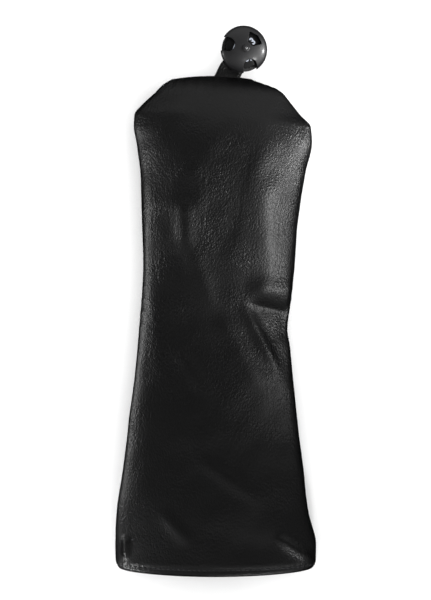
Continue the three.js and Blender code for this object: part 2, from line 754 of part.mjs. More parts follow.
function strapEyelet() {
  const inner = boreRadius;
  const flange = eyeletRadius + EYELET_LIP;
  const profile = [
    [inner, eyeletBottom],
    [flange, eyeletBottom],
    [flange, eyeletBottom + EYELET_FLANGE],
    [eyeletRadius, eyeletBottom + EYELET_FLANGE],
    [eyeletRadius, flangeTop - EYELET_FLANGE],
    [flange, flangeTop - EYELET_FLANGE],
    [flange, flangeTop],
    [inner, flangeTop],
  ];
  return lathe(profile, SMALL_ROUND_STEPS);
}

function pinWasher() {
  return ring(boreRadius, PIN_RADIUS + PIN_WASHER_LIP, pinWasherTop - PIN_WASHER, pinWasherTop);
}

// The pin: a domed head over the dome, a shaft through everything, and a clenched foot.
function tagPin() {
  const headBottom = domeHeight(boreRadius, 0) + CLEARANCE;
  const foot = clenchTop - PIN_HEAD;
  const clench = PIN_RADIUS + CLENCH_LIP;
  const head = PIN_RADIUS + PIN_HEAD_LIP;
  const points = [
    [0, foot],
    [clench - 0.4, foot],
    [clench, foot + 0.4],
    [clench, clenchTop],
    [PIN_RADIUS, clenchTop],
    [PIN_RADIUS, headBottom],
    [head, headBottom],
    [head - 0.2, headBottom + 0.5 * PIN_HEAD],
    [head / 2, headBottom + 0.9 * PIN_HEAD],
    [0, headBottom + PIN_HEAD],
  ].map(([r, z]) => new THREE.Vector2(r, z));
  return new THREE.LatheGeometry(points, SMALL_ROUND_STEPS).rotateX(Math.PI / 2);
}

// ---------------------------------------------------------------- the assembly

const finishes = {
  leather: { color: 0x242426, roughness: 0.42, metalness: 0 },
  foam: { color: 0x55565a, roughness: 0.95, metalness: 0 },
  plush: { color: 0x2e2f33, roughness: 0.98, metalness: 0 },
  webbing: { color: 0x1d1d20, roughness: 0.85, metalness: 0 },
  thread: { color: 0x303034, roughness: 0.6, metalness: 0 },
  satin: { color: 0xd8d8d4, roughness: 0.6, metalness: 0 },
  plastic: { color: 0x161619, roughness: 0.14, metalness: 0 },
  wheelPlastic: { color: 0x202226, roughness: 0.2, metalness: 0 },
  nickel: { color: 0xa8abb0, roughness: 0.25, metalness: 1 },
};

function mesh(name, geometry, finish) {
  const made = new THREE.Mesh(geometry, new THREE.MeshStandardMaterial(finishes[finish]));
  made.name = name;
  return made;
}

const sides = { left: -1, right: 1 };
const headCover = new THREE.Group();

for (const half of ["front", "back"]) {
  headCover.add(mesh(`${half}_panel`, panel(half), "leather"));
  headCover.add(mesh(`${half}_padding`, padding(half), "foam"));
  headCover.add(mesh(`${half}_lining`, lining(half), "plush"));
}
for (const [name, side] of Object.entries(sides)) {
  headCover.add(mesh(`${name}_seam_binding`, sideBinding(side), "webbing"));
  headCover.add(mesh(`${name}_seam_thread`, sideThread(side), "thread"));
  headCover.add(mesh(`crown_binding_${name}`, crownBinding(side), "webbing"));
}
headCover.add(mesh("crown_seam_thread", crownThread(), "thread"));
headCover.add(mesh("neck_elastic", neckElastic(), "webbing"));
headCover.add(mesh("hem_topstitch", stitchRow(HEM_STITCH_FROM_HEM, ["front", "back"]), "thread"));
const rows = { lower: elasticFrom + ELASTIC_ROW_FROM_EDGE, upper: elasticTo - ELASTIC_ROW_FROM_EDGE };
for (const [name, y] of Object.entries(rows)) {
  headCover.add(mesh(`elastic_stitch_${name}`, stitchRow(y, ["back"]), "thread"));
}
headCover.add(mesh("blank_label", blankLabel(), "satin"));

const strap = strapFrame();
strap.add(mesh("strap_tail", strapTail(), "leather"));
strap.add(mesh("tag_strap", freeStrap(), "leather"));
strap.add(mesh("strap_stitching", strapThread(), "thread"));
headCover.add(strap);

const tag = new THREE.Group();
tag.applyMatrix4(tagPlace());
tag.add(mesh("strap_eyelet", strapEyelet(), "nickel"));
const turned = new THREE.Group();
turned.rotation.z = radians(TAG_TURN);
turned.add(mesh("tag_base", tagBase(), "plastic"));
turned.add(mesh("tag_dome", tagDome(), "plastic"));
turned.add(mesh("tag_pin", tagPin(), "plastic"));
turned.add(mesh("pin_washer", pinWasher(), "nickel"));
turned.add(mesh("spring_washer", springWasher(), "nickel"));
turned.add(mesh("number_wheel", numberWheel(), "wheelPlastic"));
tag.add(turned);
strap.add(tag);

// The whole object stands on its origin: its lowest point is at z = 0, and its middle is over it.
headCover.updateMatrixWorld(true);
const box = new THREE.Box3().setFromObject(headCover, true);
const middle = box.getCenter(new THREE.Vector3());
headCover.position.set(-middle.x, -middle.y, -box.min.z);

export default headCover;
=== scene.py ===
"""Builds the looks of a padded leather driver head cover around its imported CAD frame.

The cover lies on its back: its mouth is at -Y, its crown seam and number tag at +Y. Sleeve
measurements are in millimetres from the hem's edge, and become metres when a mesh is made.
"""

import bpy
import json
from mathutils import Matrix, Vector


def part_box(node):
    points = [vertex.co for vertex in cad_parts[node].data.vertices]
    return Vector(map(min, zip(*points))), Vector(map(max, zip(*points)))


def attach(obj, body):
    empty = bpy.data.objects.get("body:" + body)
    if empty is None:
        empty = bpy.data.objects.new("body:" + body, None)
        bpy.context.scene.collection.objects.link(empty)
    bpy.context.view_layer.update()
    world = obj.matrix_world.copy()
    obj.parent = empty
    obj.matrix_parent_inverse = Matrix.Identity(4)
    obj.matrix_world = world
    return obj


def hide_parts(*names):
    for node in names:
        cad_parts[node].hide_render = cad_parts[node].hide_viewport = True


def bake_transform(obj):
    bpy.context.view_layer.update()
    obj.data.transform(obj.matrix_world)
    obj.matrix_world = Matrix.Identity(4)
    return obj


bl_info = {
    "name": "Driver Head Cover",
    "version": (1, 0, 0),
    "blender": (4, 5, 0),
    "location": "3D View > Sidebar > Head Cover",
    "description": "Builds a padded leather driver head cover and its number tag on a CAD frame",
    "category": "Add Mesh",
}

import json
import math

import bmesh
import bpy
import numpy as np
from bpy.props import FloatProperty, FloatVectorProperty, IntProperty, PointerProperty
from mathutils import Matrix, Vector

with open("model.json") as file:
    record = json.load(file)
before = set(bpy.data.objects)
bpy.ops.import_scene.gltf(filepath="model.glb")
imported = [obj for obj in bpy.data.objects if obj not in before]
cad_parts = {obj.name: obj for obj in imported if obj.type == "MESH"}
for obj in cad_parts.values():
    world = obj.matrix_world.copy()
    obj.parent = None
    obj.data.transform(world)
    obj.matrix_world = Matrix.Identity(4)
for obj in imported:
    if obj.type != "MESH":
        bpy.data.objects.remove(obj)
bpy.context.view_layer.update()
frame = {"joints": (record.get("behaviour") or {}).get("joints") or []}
joints = {joint["name"]: joint for joint in frame["joints"]}

MM = 0.001


# ---------------------------------------------------------------- sizes that a user may change


class SleeveSizes(bpy.types.PropertyGroup):
    """Sizes of the sleeve and its layers."""

    leather: FloatProperty(
        name="Leather", description="Thickness of the leather", default=1.2 * MM, unit="LENGTH"
    )
    padding: FloatProperty(
        name="Padding", description="Thickness of the wadding", default=3 * MM, unit="LENGTH"
    )
    lining: FloatProperty(
        name="Lining", description="Thickness of the fleece", default=2.5 * MM, unit="LENGTH"
    )
    front_rise: FloatProperty(
        name="Front rise",
        description="Height of the head's front over the seams",
        default=25.5 * MM,
        unit="LENGTH",
    )
    hem_turn: FloatProperty(
        name="Hem turn", description="Leather turned in at the mouth", default=25 * MM, unit="LENGTH"
    )
    stitch_pitch: FloatProperty(
        name="Stitch pitch", description="One hem stitch to the next", default=3.8 * MM, unit="LENGTH"
    )
    thread: FloatProperty(
        name="Thread", description="Diameter of the sewing thread", default=0.62 * MM, unit="LENGTH"
    )
    wrinkles: FloatProperty(
        name="Wrinkles", description="Strength of the soft folds", default=1.0, min=0, max=2
    )


class FinishSettings(bpy.types.PropertyGroup):
    """Colours and surface scales."""

    leather_color: FloatVectorProperty(
        name="Leather",
        description="Colour of the leather",
        subtype="COLOR",
        default=(0.0017, 0.0017, 0.0019),
    )
    grain: FloatProperty(
        name="Grain", description="Width of one pebble of the grain", default=1.2 * MM, unit="LENGTH"
    )
    fleece_color: FloatVectorProperty(
        name="Fleece", description="Colour of the lining", subtype="COLOR", default=(0.035, 0.036, 0.04)
    )
    plastic_color: FloatVectorProperty(
        name="Plastic", description="Colour of the tag", subtype="COLOR", default=(0.006, 0.006, 0.007)
    )
    numeral_color: FloatVectorProperty(
        name="Numerals",
        description="Colour of the numerals",
        subtype="COLOR",
        default=(0.36, 0.39, 0.45),
    )


class TagSizes(bpy.types.PropertyGroup):
    """Sizes of the strap and the number tag."""

    radius: FloatProperty(
        name="Tag radius", description="Radius of the number tag", default=17.5 * MM, unit="LENGTH"
    )
    strap_width: FloatProperty(
        name="Strap width", description="Width at the crown seam", default=18 * MM, unit="LENGTH"
    )
    bearing: FloatProperty(
        name="Window bearing",
        description="Direction of the window, from +X",
        default=math.radians(47.2),
        subtype="ANGLE",
    )
    knurls: IntProperty(name="Knurls", description="Teeth round the number wheel", default=36, min=8)


class StageSettings(bpy.types.PropertyGroup):
    """The light and the view."""

    camera_height: FloatProperty(
        name="Camera height", description="Camera over the floor", default=1.45, unit="LENGTH"
    )
    view_height: FloatProperty(
        name="View height", description="Length of the view on the floor", default=0.444, unit="LENGTH"
    )
    key: FloatProperty(
        name="Key light", description="Power of the softbox", default=0.14, unit="POWER"
    )
    strips: FloatProperty(
        name="Strips", description="Power of the low strips", default=0.2, unit="POWER"
    )
    sweep: FloatProperty(name="Sweep", description="Brightness of the white sweep", default=1.4, min=0)
    overhead: FloatProperty(
        name="Overhead", description="Brightness of the light overhead", default=1.0, min=0
    )


# ---------------------------------------------------------------- curves and fields


def smooth(value, start, end):
    """Eases from 0 at start to 1 at end."""
    share = np.clip((np.asarray(value, float) - start) / (end - start), 0, 1)
    return share * share * (3 - 2 * share)


def through(points, place):
    """The value at a place on a smooth curve through (place, value) points, with no overshoot."""
    xs, ys = np.array(points, float).T
    gaps = np.diff(xs)
    slopes = np.diff(ys) / gaps
    tangents = np.zeros(len(xs))
    inner = slopes[:-1] * slopes[1:] > 0
    weights = (2 * gaps[1:] + gaps[:-1], gaps[1:] + 2 * gaps[:-1])
    harmonic = sum(weights) / (
        weights[0] / np.where(inner, slopes[:-1], 1) + weights[1] / np.where(inner, slopes[1:], 1)
    )
    tangents[1:-1] = np.where(inner, harmonic, 0)
    tangents[0], tangents[-1] = slopes[0], slopes[-1]
    place = np.clip(np.asarray(place, float), xs[0], xs[-1])
    i = np.clip(np.searchsorted(xs, place) - 1, 0, len(gaps) - 1)
    h, t = gaps[i], (place - xs[i]) / gaps[i]
    t2, t3 = t * t, t * t * t
    return (
        (2 * t3 - 3 * t2 + 1) * ys[i]
        + (t3 - 2 * t2 + t) * h * tangents[i]
        + (3 * t2 - 2 * t3) * ys[i + 1]
        + (t3 - t2) * h * tangents[i + 1]
    )


def soft_waves(x, y, wavelength, seed, count=14):
    """A smooth random field of about unit height."""
    random = np.random.default_rng(seed)
    total = np.zeros(np.broadcast(x, y).shape)
    for turn, phase, scale in random.random((count, 3)):
        k = 2 * math.pi / (wavelength * (0.7 + 0.6 * scale))
        angle = 2 * math.pi * turn
        total += np.sin(k * (x * math.cos(angle) + y * math.sin(angle)) + 2 * math.pi * phase)
    return total * math.sqrt(2 / count)


def ridge(x, y, start, end, height, width, power=2.0, under=1.0):
    """A ridge, or a valley of negative height, that fades out past both ends of a line. A lower
    power makes its bottom sharper, and under makes the side towards the hem gentler."""
    (x0, y0), (x1, y1) = start, end
    length = math.hypot(x1 - x0, y1 - y0)
    along = ((x - x0) * (x1 - x0) + (y - y0) * (y1 - y0)) / length
    across = ((x - x0) * (y1 - y0) - (y - y0) * (x1 - x0)) / length
    across = np.where(across < 0, across / under, across)
    fade = max(0.35 * length, width)
    window = smooth(along, -fade, 0.2 * length) * (1 - smooth(along, 0.8 * length, length + fade))
    return height * window * np.exp(-(np.abs(across / width) ** power))


# ---------------------------------------------------------------- the sleeve's surface

# Places along the sleeve from the hem, with how far the outline reaches to the left and right
# of the hem's middle line.
OUTLINE = [
    (0, 67.5, 66.0),
    (2.5, 72.2, 71.2),
    (6, 74.6, 73.8),
    (20, 74.8, 73.8),
    (47, 73.8, 68.2),
    (74, 69.8, 64.9),
    (110, 65.4, 60.6),
    (145, 60.9, 57.0),
    (168, 58.3, 55.0),
    (181, 57.2, 53.0),
    (200, 55.7, 55.2),
    (225, 54.4, 57.6),
    (260, 54.9, 60.6),
    (296, 56.6, 65.8),
    (320, 59.4, 70.8),
    (331, 60.9, 70.2),
    (340, 60.4, 62.4),
    (348, 53.9, 56.0),
    (356, 45.4, 49.2),
    (362, 40.8, 39.9),
    (366, 38.4, 33.5),
    (370, 33.0, 26.0),
]
# Height of the front over the seams, and of the back under them, along the middle.
FRONT_CREST = [
    (0, 17),
    (8, 18.5),
    (60, 18),
    (130, 16.2),
    (185, 15.2),
    (250, 20.8),
    (305, 25.3),
    (370, 25.3),
]
BACK_CREST = [
    (0, 14.2),
    (14, 14.6),
    (28, 16),
    (150, 16),
    (185, 14.2),
    (200, 14.2),
    (240, 16),
    (370, 16),
]
CROWN_TAPER = 58
CORNER_FALL = 0.42
HEM_BOW = 2.8
HEM_ROW = 5.0
NECK = 192
HALF_GIRTH = 150
CROWN_ARCH = (1.3, 2.4)
SEAM_GAP = 0.15
ROUNDNESS = {"front": 2.15, "back": 4.6}
TYPICAL_SECTION = (62, 18)
SIDE = {"front": 1, "back": -1}

# Soft folds of the front: from and to (right of the middle line, from the hem), height and width.
# A crease adds its sharpness, and how much gentler its side towards the hem is.
FRONT_FOLDS = [
    ((60, 192), (30, 199), -2.7, 4.4, 1.15, 3.2),  # the crease that the bent neck makes
    ((60, 208), (30, 211), 2.2, 9.5),  # the roll over it
    ((24, 191), (42, 157), 2.1, 4.2),  # and the slack under it
    ((5, 186), (27, 146), 1.1, 6.0),
    ((-17, 236), (-4, 202), 1.0, 6.5),
    ((-23, 272), (-22, 244), 2.3, 7.5),
    ((-30, 168), (-8, 138), 1.0, 6.5),
    ((-6, 82), (26, 60), 1.2, 6.0),
    ((-38, 45), (-22, 28), 1.1, 5.0),
    ((48, 27), (66, 14), 2.3, 3.8),
    ((-66, 27), (-66.5, 15), 2.3, 2.8),
    ((42, 150), (50, 138), 0.6, 7.0),
    ((30, 310), (38, 236), 0.9, 11.0),
    ((12, 345), (-16, 300), 0.8, 12.0),
    ((-46, 210), (-42, 150), 0.7, 7.0),
]

length = (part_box("front_panel")[1].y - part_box("front_panel")[0].y) / MM
hem_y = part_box("front_panel")[0].y
seam_z = (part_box("front_panel")[0].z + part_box("back_panel")[1].z) / 2


def section_table(roundness, steps=4000):
    """Places across and up a half's unit section, at even steps along a typical one."""
    turn = np.linspace(0, math.pi, steps)
    across = np.sign(np.cos(turn)) * np.abs(np.cos(turn)) ** (2 / roundness)
    up = np.abs(np.sin(turn)) ** (2 / roundness)
    wide, high = TYPICAL_SECTION
    walked = np.concatenate([[0], np.cumsum(np.hypot(wide * np.diff(across), high * np.diff(up)))])
    return walked / walked[-1], across, up


SECTIONS = {half: section_table(ROUNDNESS[half]) for half in ROUNDNESS}


def stretch(curve, d):
    """How much longer a depth is along an axis than square to a surface sloping along the sleeve."""
    slope = (curve(np.minimum(d + 1, length)) - curve(np.maximum(d - 1, 0))) / 2
    return np.minimum(np.hypot(1, slope), 1.5)


def reach(side):
    """How far the outline reaches to one side of the middle line, as a function of place."""
    column = 1 if side < 0 else 2
    points = [(row[0], row[column]) for row in OUTLINE]
    return lambda d: through(points, d)


REACH = {side: reach(side) for side in (-1, 1)}


def crown_taper(d):
    """The share of its height that the sleeve keeps as it closes at the crown."""
    share = np.clip((length - d) / CROWN_TAPER, 0, 1)
    return (1 - (1 - share) ** 2.0) ** 0.78


def crest(half):
    """A half's height along the middle, as a function of place."""
    points = FRONT_CREST if half == "front" else BACK_CREST
    return lambda d: through(points, d) * crown_taper(d)


CREST = {half: crest(half) for half in SIDE}


def smooth_form(half, d, t, depth=0.0, stop=0.0, gap=SEAM_GAP):
    """Points of a half's smooth form, in millimetres from the hem's middle at the seams' height.
    t runs from the right seam to the left one. depth is how far inside the leather's face."""
    d, t, depth = np.broadcast_arrays(*(np.asarray(given, float) for given in (d, t, depth)))
    walked, across_at, up_at = SECTIONS[half]
    across, up = np.interp(t, walked, across_at), np.interp(t, walked, up_at)
    right = REACH[1](d) - (depth + stop) * stretch(REACH[1], d)
    left = REACH[-1](d) - (depth + stop) * stretch(REACH[-1], d)
    x = (right - left) / 2 + across * (right + left) / 2
    rise = CREST[half](d) - depth * stretch(CREST[half], d)
    fall = 1 - CORNER_FALL * smooth(d, length - 100, length - 34) * np.abs(across) ** 3
    height = gap + np.maximum(rise - gap, 0) * up * fall
    bow = HEM_BOW * across**2 * (1 - smooth(d, 0, 60))
    arch = (CROWN_ARCH[0] + CROWN_ARCH[1] * across**2) * smooth(d, length - 12, length)
    return np.stack([x, d + bow - arch, SIDE[half] * height], axis=-1)


def outward(half, d, t):
    """Unit normals of the smooth form."""
    du, dv = 0.4, 0.002
    d, t = np.broadcast_arrays(np.asarray(d, float), np.asarray(t, float))
    up, down = np.minimum(d + du, length), np.maximum(d - du, 0)
    more, less = np.minimum(t + dv, 1), np.maximum(t - dv, 0)
    along = smooth_form(half, up, t) - smooth_form(half, down, t)
    across = smooth_form(half, d, more) - smooth_form(half, d, less)
    normal = np.cross(across, along) * -SIDE[half]
    normal *= np.sign(np.sum(normal * np.array([0, 0, SIDE[half]]), axis=-1, keepdims=True) + 1e-9)
    size = np.linalg.norm(normal, axis=-1, keepdims=True)
    flat = np.array([0, 0, float(SIDE[half])])
    return np.where(size > 1e-9, normal / np.maximum(size, 1e-9), flat)


def relief(half, d, t, strength):
    """How far the soft surface stands off the smooth form: folds, gathers, puckers and seams."""
    form = smooth_form(half, d, t)
    x, y = form[..., 0], form[..., 1]
    from_seam = np.minimum(t, 1 - t) * HALF_GIRTH
    off = 0.3 * soft_waves(x, y, 66, 3) + 0.07 * soft_waves(x, y, 26, 5)
    calm = smooth(d, 3, 26) * smooth(length - d, 2, 18)
    off = off * calm * (0.6 + 0.4 * smooth(from_seam, 0, 12))
    if half == "front":
        folds = sum(ridge(x, y, *fold) for fold in FRONT_FOLDS)
        off = off + folds * smooth(from_seam, 0, 11)
    neck = np.exp(-(((d - NECK) / 21) ** 2))
    if half == "back":
        wander = 0.9 * np.sin(x / 9) + 0.02 * (d - NECK) * np.sin(x / 5)
        gathers = np.sin(2 * math.pi * x / 8.6 + wander)
        off = off - neck * smooth(from_seam, 0, 14) * (0.5 + 0.75 * gathers)
    else:
        gathers = np.sin(2 * math.pi * d / 11 + 2.0 * np.sin(d / 17))
        off = off + 0.22 * neck * gathers * np.exp(-((from_seam / 11) ** 2))
    puckers = np.sin(2 * math.pi * x / 7.3 + 1.3 * np.sin(x / 6))
    off = off + 0.2 * puckers * np.exp(-(((length - d) / 9) ** 2)) * smooth(length - d, 0, 3)
    return strength * off - 0.8 * np.exp(-((from_seam / 1.1) ** 2)) * smooth(d, 0, 8)


def stitch_channel(d, x):
    """The hem's stitches pull the leather in along their row, and it puckers between them."""
    pitch = bpy.context.scene.sleeve_sizes.stitch_pitch / MM
    row = np.exp(-(((d - HEM_ROW) / 1.5) ** 2))
    fold = np.exp(-(((d - 1.6) / 1.6) ** 2))
    return 0.22 * fold - 0.55 * row + 0.26 * row * np.cos(2 * math.pi * x / pitch)


def sleeve_points(half, d, t, depth=0.0, stop=0.0, gap=SEAM_GAP):
    """Points of a layer of the soft sleeve, in metres in the row frame."""
    strength = bpy.context.scene.sleeve_sizes.wrinkles
    d, t, depth = np.broadcast_arrays(*(np.asarray(given, float) for given in (d, t, depth)))
    form = smooth_form(half, d, t, depth, stop, gap)
    off = relief(half, d, t, strength) + stitch_channel(d, form[..., 0])
    points = form + outward(half, d, t) * off[..., None] + slack(half, d, t)
    points = points * MM + np.array([0, hem_y, seam_z])
    lowest = (0.15 + depth) * MM
    points[..., 2] = np.maximum(points[..., 2], lowest)
    return points


# ---------------------------------------------------------------- the leather's slack, simulated

SLACK_ROWS, SLACK_COLUMNS = 92, 36
SLACK_LIMIT = 0.4
SLACK_FRAMES = 20
# Passes of smoothing after which the folds are left, and only the broad swelling.
FOLD_PASSES, SWELL_PASSES = 16, 90
slack_field = {}


def slack(half, d, t):
    """How far the simulated leather has moved from its smooth form, in millimetres."""
    if half not in slack_field:
        return 0.0
    field = slack_field[half]
    rows = np.clip(d / length, 0, 1) * (field.shape[0] - 1)
    columns = np.clip(t, 0, 1) * (field.shape[1] - 1)
    i = np.minimum(rows.astype(int), field.shape[0] - 2)
    j = np.minimum(columns.astype(int), field.shape[1] - 2)
    a, b = smooth(rows - i, 0, 1)[..., None], smooth(columns - j, 0, 1)[..., None]
    low = field[i, j] * (1 - b) + field[i, j + 1] * b
    high = field[i + 1, j] * (1 - b) + field[i + 1, j + 1] * b
    return low * (1 - a) + high * a


def evened(field, passes):
    """A grid of moves with its folds smoothed away."""
    for _ in range(passes):
        for axis in (0, 1):
            count = field.shape[axis]
            ends = [(1, 1) if i == axis else (0, 0) for i in range(field.ndim)]
            padded = np.pad(field, ends, mode="edge")
            before, after = padded.take(range(count), axis), padded.take(range(2, count + 2), axis)
            field = (before + 2 * field + after) / 4
    return field


def simulate_slack():
    """Lets an open tube of leather settle under a little pressure, gathered at the neck."""
    d = np.linspace(0, length - 4, SLACK_ROWS)[:, None]
    t = np.linspace(0, 1, SLACK_COLUMNS)[None, :]
    front = smooth_form("front", d, t, gap=0)
    back = smooth_form("back", d, t[:, ::-1], gap=0)[:, 1:-1]
    rings = np.concatenate([front, back], axis=1)
    rows, columns = rings.shape[:2]
    places = rings.reshape(-1, 3) * MM + np.array([0, hem_y, seam_z])
    index = np.arange(rows * columns).reshape(rows, columns)
    beside = np.roll(index, -1, axis=1)
    faces = np.stack([index[:-1], index[1:], beside[1:], beside[:-1]], axis=-1).reshape(-1, 4).tolist()
    tube = add_mesh("slack_tube", places, faces)
    held = tube.vertex_groups.new(name="held")
    held.add([*range(2 * columns), *range((rows - 2) * columns, rows * columns)], 1.0, "REPLACE")
    gathered = tube.vertex_groups.new(name="gathered")
    for i in range(rows):
        for j in range(columns):
            pull = math.exp(-(((d[i, 0] - NECK) / 22) ** 2)) * (1.0 if j >= SLACK_COLUMNS else 0.35)
            gathered.add([i * columns + j], pull, "REPLACE")
    cloth = tube.modifiers.new("slack", "CLOTH")
    cloth.settings.quality = 8
    cloth.settings.mass = 0.5
    cloth.settings.tension_stiffness = 60
    cloth.settings.compression_stiffness = 40
    cloth.settings.shear_stiffness = 20
    cloth.settings.bending_stiffness = 6.0
    cloth.settings.vertex_group_mass = "held"
    cloth.settings.use_pressure = True
    cloth.settings.uniform_pressure_force = 2.0
    cloth.settings.vertex_group_shrink = "gathered"
    cloth.settings.shrink_min = 0.0
    cloth.settings.shrink_max = 0.08
    cloth.settings.effector_weights.gravity = 0
    cloth.collision_settings.use_collision = False
    cloth.point_cache.frame_end = SLACK_FRAMES
    for number in range(1, SLACK_FRAMES + 1):
        bpy.context.scene.frame_set(number)
    settled = tube.evaluated_get(bpy.context.evaluated_depsgraph_get())
    after = np.array([vertex.co for vertex in settled.data.vertices])
    bpy.context.scene.frame_set(1)
    moved = (after - places).reshape(rows, columns, 3) / MM
    back_columns = [0, *range(columns - 1, SLACK_COLUMNS - 1, -1), SLACK_COLUMNS - 1]
    still = smooth(np.minimum(d, length - d), 4, 34) * smooth(np.minimum(t, 1 - t), 0, 0.12)
    for half, picked in (("front", list(range(SLACK_COLUMNS))), ("back", back_columns)):
        folds = evened(moved[:, picked], FOLD_PASSES) - evened(moved[:, picked], SWELL_PASSES)
        size = np.linalg.norm(folds, axis=-1, keepdims=True)
        folds *= SLACK_LIMIT * np.tanh(size / SLACK_LIMIT) / np.maximum(size, 1e-6)
        slack_field[half] = folds * still[..., None]
    bpy.data.objects.remove(tube)


# ---------------------------------------------------------------- meshes


def add_mesh(name, points, faces, materials=(), shade=True):
    mesh = bpy.data.meshes.new(name)
    mesh.from_pydata([tuple(p) for p in np.asarray(points).reshape(-1, 3)], [], faces)
    mesh.update()
    for material in materials:
        mesh.materials.append(material)
    if shade:
        mesh.polygons.foreach_set("use_smooth", [True] * len(mesh.polygons))
    piece = bpy.data.objects.new(name, mesh)
    bpy.context.scene.collection.objects.link(piece)
    return piece


def face_out(piece):
    """Merges doubles and turns every face outward."""
    work = bmesh.new()
    work.from_mesh(piece.data)
    bmesh.ops.remove_doubles(work, verts=work.verts, dist=1e-7)
    bmesh.ops.recalc_face_normals(work, faces=work.faces)
    work.to_mesh(piece.data)
    work.free()
    piece.data.update()
    return piece


def strip_mesh(name, outer, inner, material):
    """A closed strip between two grids of points that have the same rows and columns."""
    rows, columns = outer.shape[:2]
    count = rows * columns
    index = np.arange(count).reshape(rows, columns)
    a, b = index[:-1, :-1].ravel(), index[:-1, 1:].ravel()
    c, e = index[1:, 1:].ravel(), index[1:, :-1].ravel()
    skin = np.stack([a, b, c, e], axis=1)
    faces = [*skin.tolist(), *(skin[:, ::-1] + count).tolist()]
    border = [*index[0], *index[1:, -1], *index[-1, -2::-1], *index[-2:0:-1, 0]]
    for i, j in zip(border, border[1:] + border[:1]):
        faces.append([j, i, i + count, j + count])
    points = np.concatenate([outer.reshape(-1, 3), inner.reshape(-1, 3)])
    piece = add_mesh(name, points, [[int(v) for v in face] for face in faces], [material])
    return face_out(piece)


def turned(name, profile, material, place, segments=96, radial=None):
    """A body turned from a closed (radius, height) profile in millimetres, at a place."""
    turns = np.arange(segments) * 2 * math.pi / segments
    points, faces = [], []
    on_axis = [r < 1e-6 for r, _ in profile]
    starts = []
    for (r, z), single in zip(profile, on_axis):
        starts.append(len(points))
        if single:
            points.append((0, 0, z))
            continue
        for turn in turns:
            radius = radial(r, z, turn) if radial else r
            points.append((radius * math.cos(turn), radius * math.sin(turn), z))
    for k in range(len(profile)):
        n = (k + 1) % len(profile)
        for i in range(segments):
            j = (i + 1) % segments
            here = [starts[k]] if on_axis[k] else [starts[k] + i, starts[k] + j]
            there = [starts[n]] if on_axis[n] else [starts[n] + j, starts[n] + i]
            if len(here) + len(there) > 2:
                faces.append(here + there)
    piece = add_mesh(name, np.array(points) * MM, faces, [material])
    face_out(piece)
    piece.data.transform(place)
    return piece


def smooth_by_angle(piece, degrees=32):
    """Sharp creases stay sharp, and the rest shades smoothly."""
    work = bmesh.new()
    work.from_mesh(piece.data)
    for edge in work.edges:
        edge.smooth = len(edge.link_faces) == 2 and edge.calc_face_angle(0) < math.radians(degrees)
    work.to_mesh(piece.data)
    work.free()
    return piece


def rounded(profile, radius=0.25, steps=4):
    """A closed profile with its corners rounded."""
    out = []
    count = len(profile)
    for k, (r, z) in enumerate(profile):
        here = Vector((r, z))
        back = Vector(profile[k - 1]) - here
        ahead = Vector(profile[(k + 1) % count]) - here
        if r < 1e-6 or min(back.length, ahead.length) < 1e-6:
            out.append((r, z))
            continue
        angle = back.angle(ahead)
        if angle > math.radians(165):
            out.append((r, z))
            continue
        size = min(radius, 0.45 * back.length, 0.45 * ahead.length)
        start, end = here + back.normalized() * size, here + ahead.normalized() * size
        for i in range(steps + 1):
            t = i / steps
            p = start * (1 - t) ** 2 + here * 2 * t * (1 - t) + end * t * t
            out.append((p.x, p.y))
    return out


def apply_modifiers(piece):
    """Makes a piece's modifiers part of its mesh."""
    settled = piece.evaluated_get(bpy.context.evaluated_depsgraph_get())
    mesh = bpy.data.meshes.new_from_object(settled)
    piece.modifiers.clear()
    piece.data = mesh
    return piece


# ---------------------------------------------------------------- stitches by Geometry Nodes


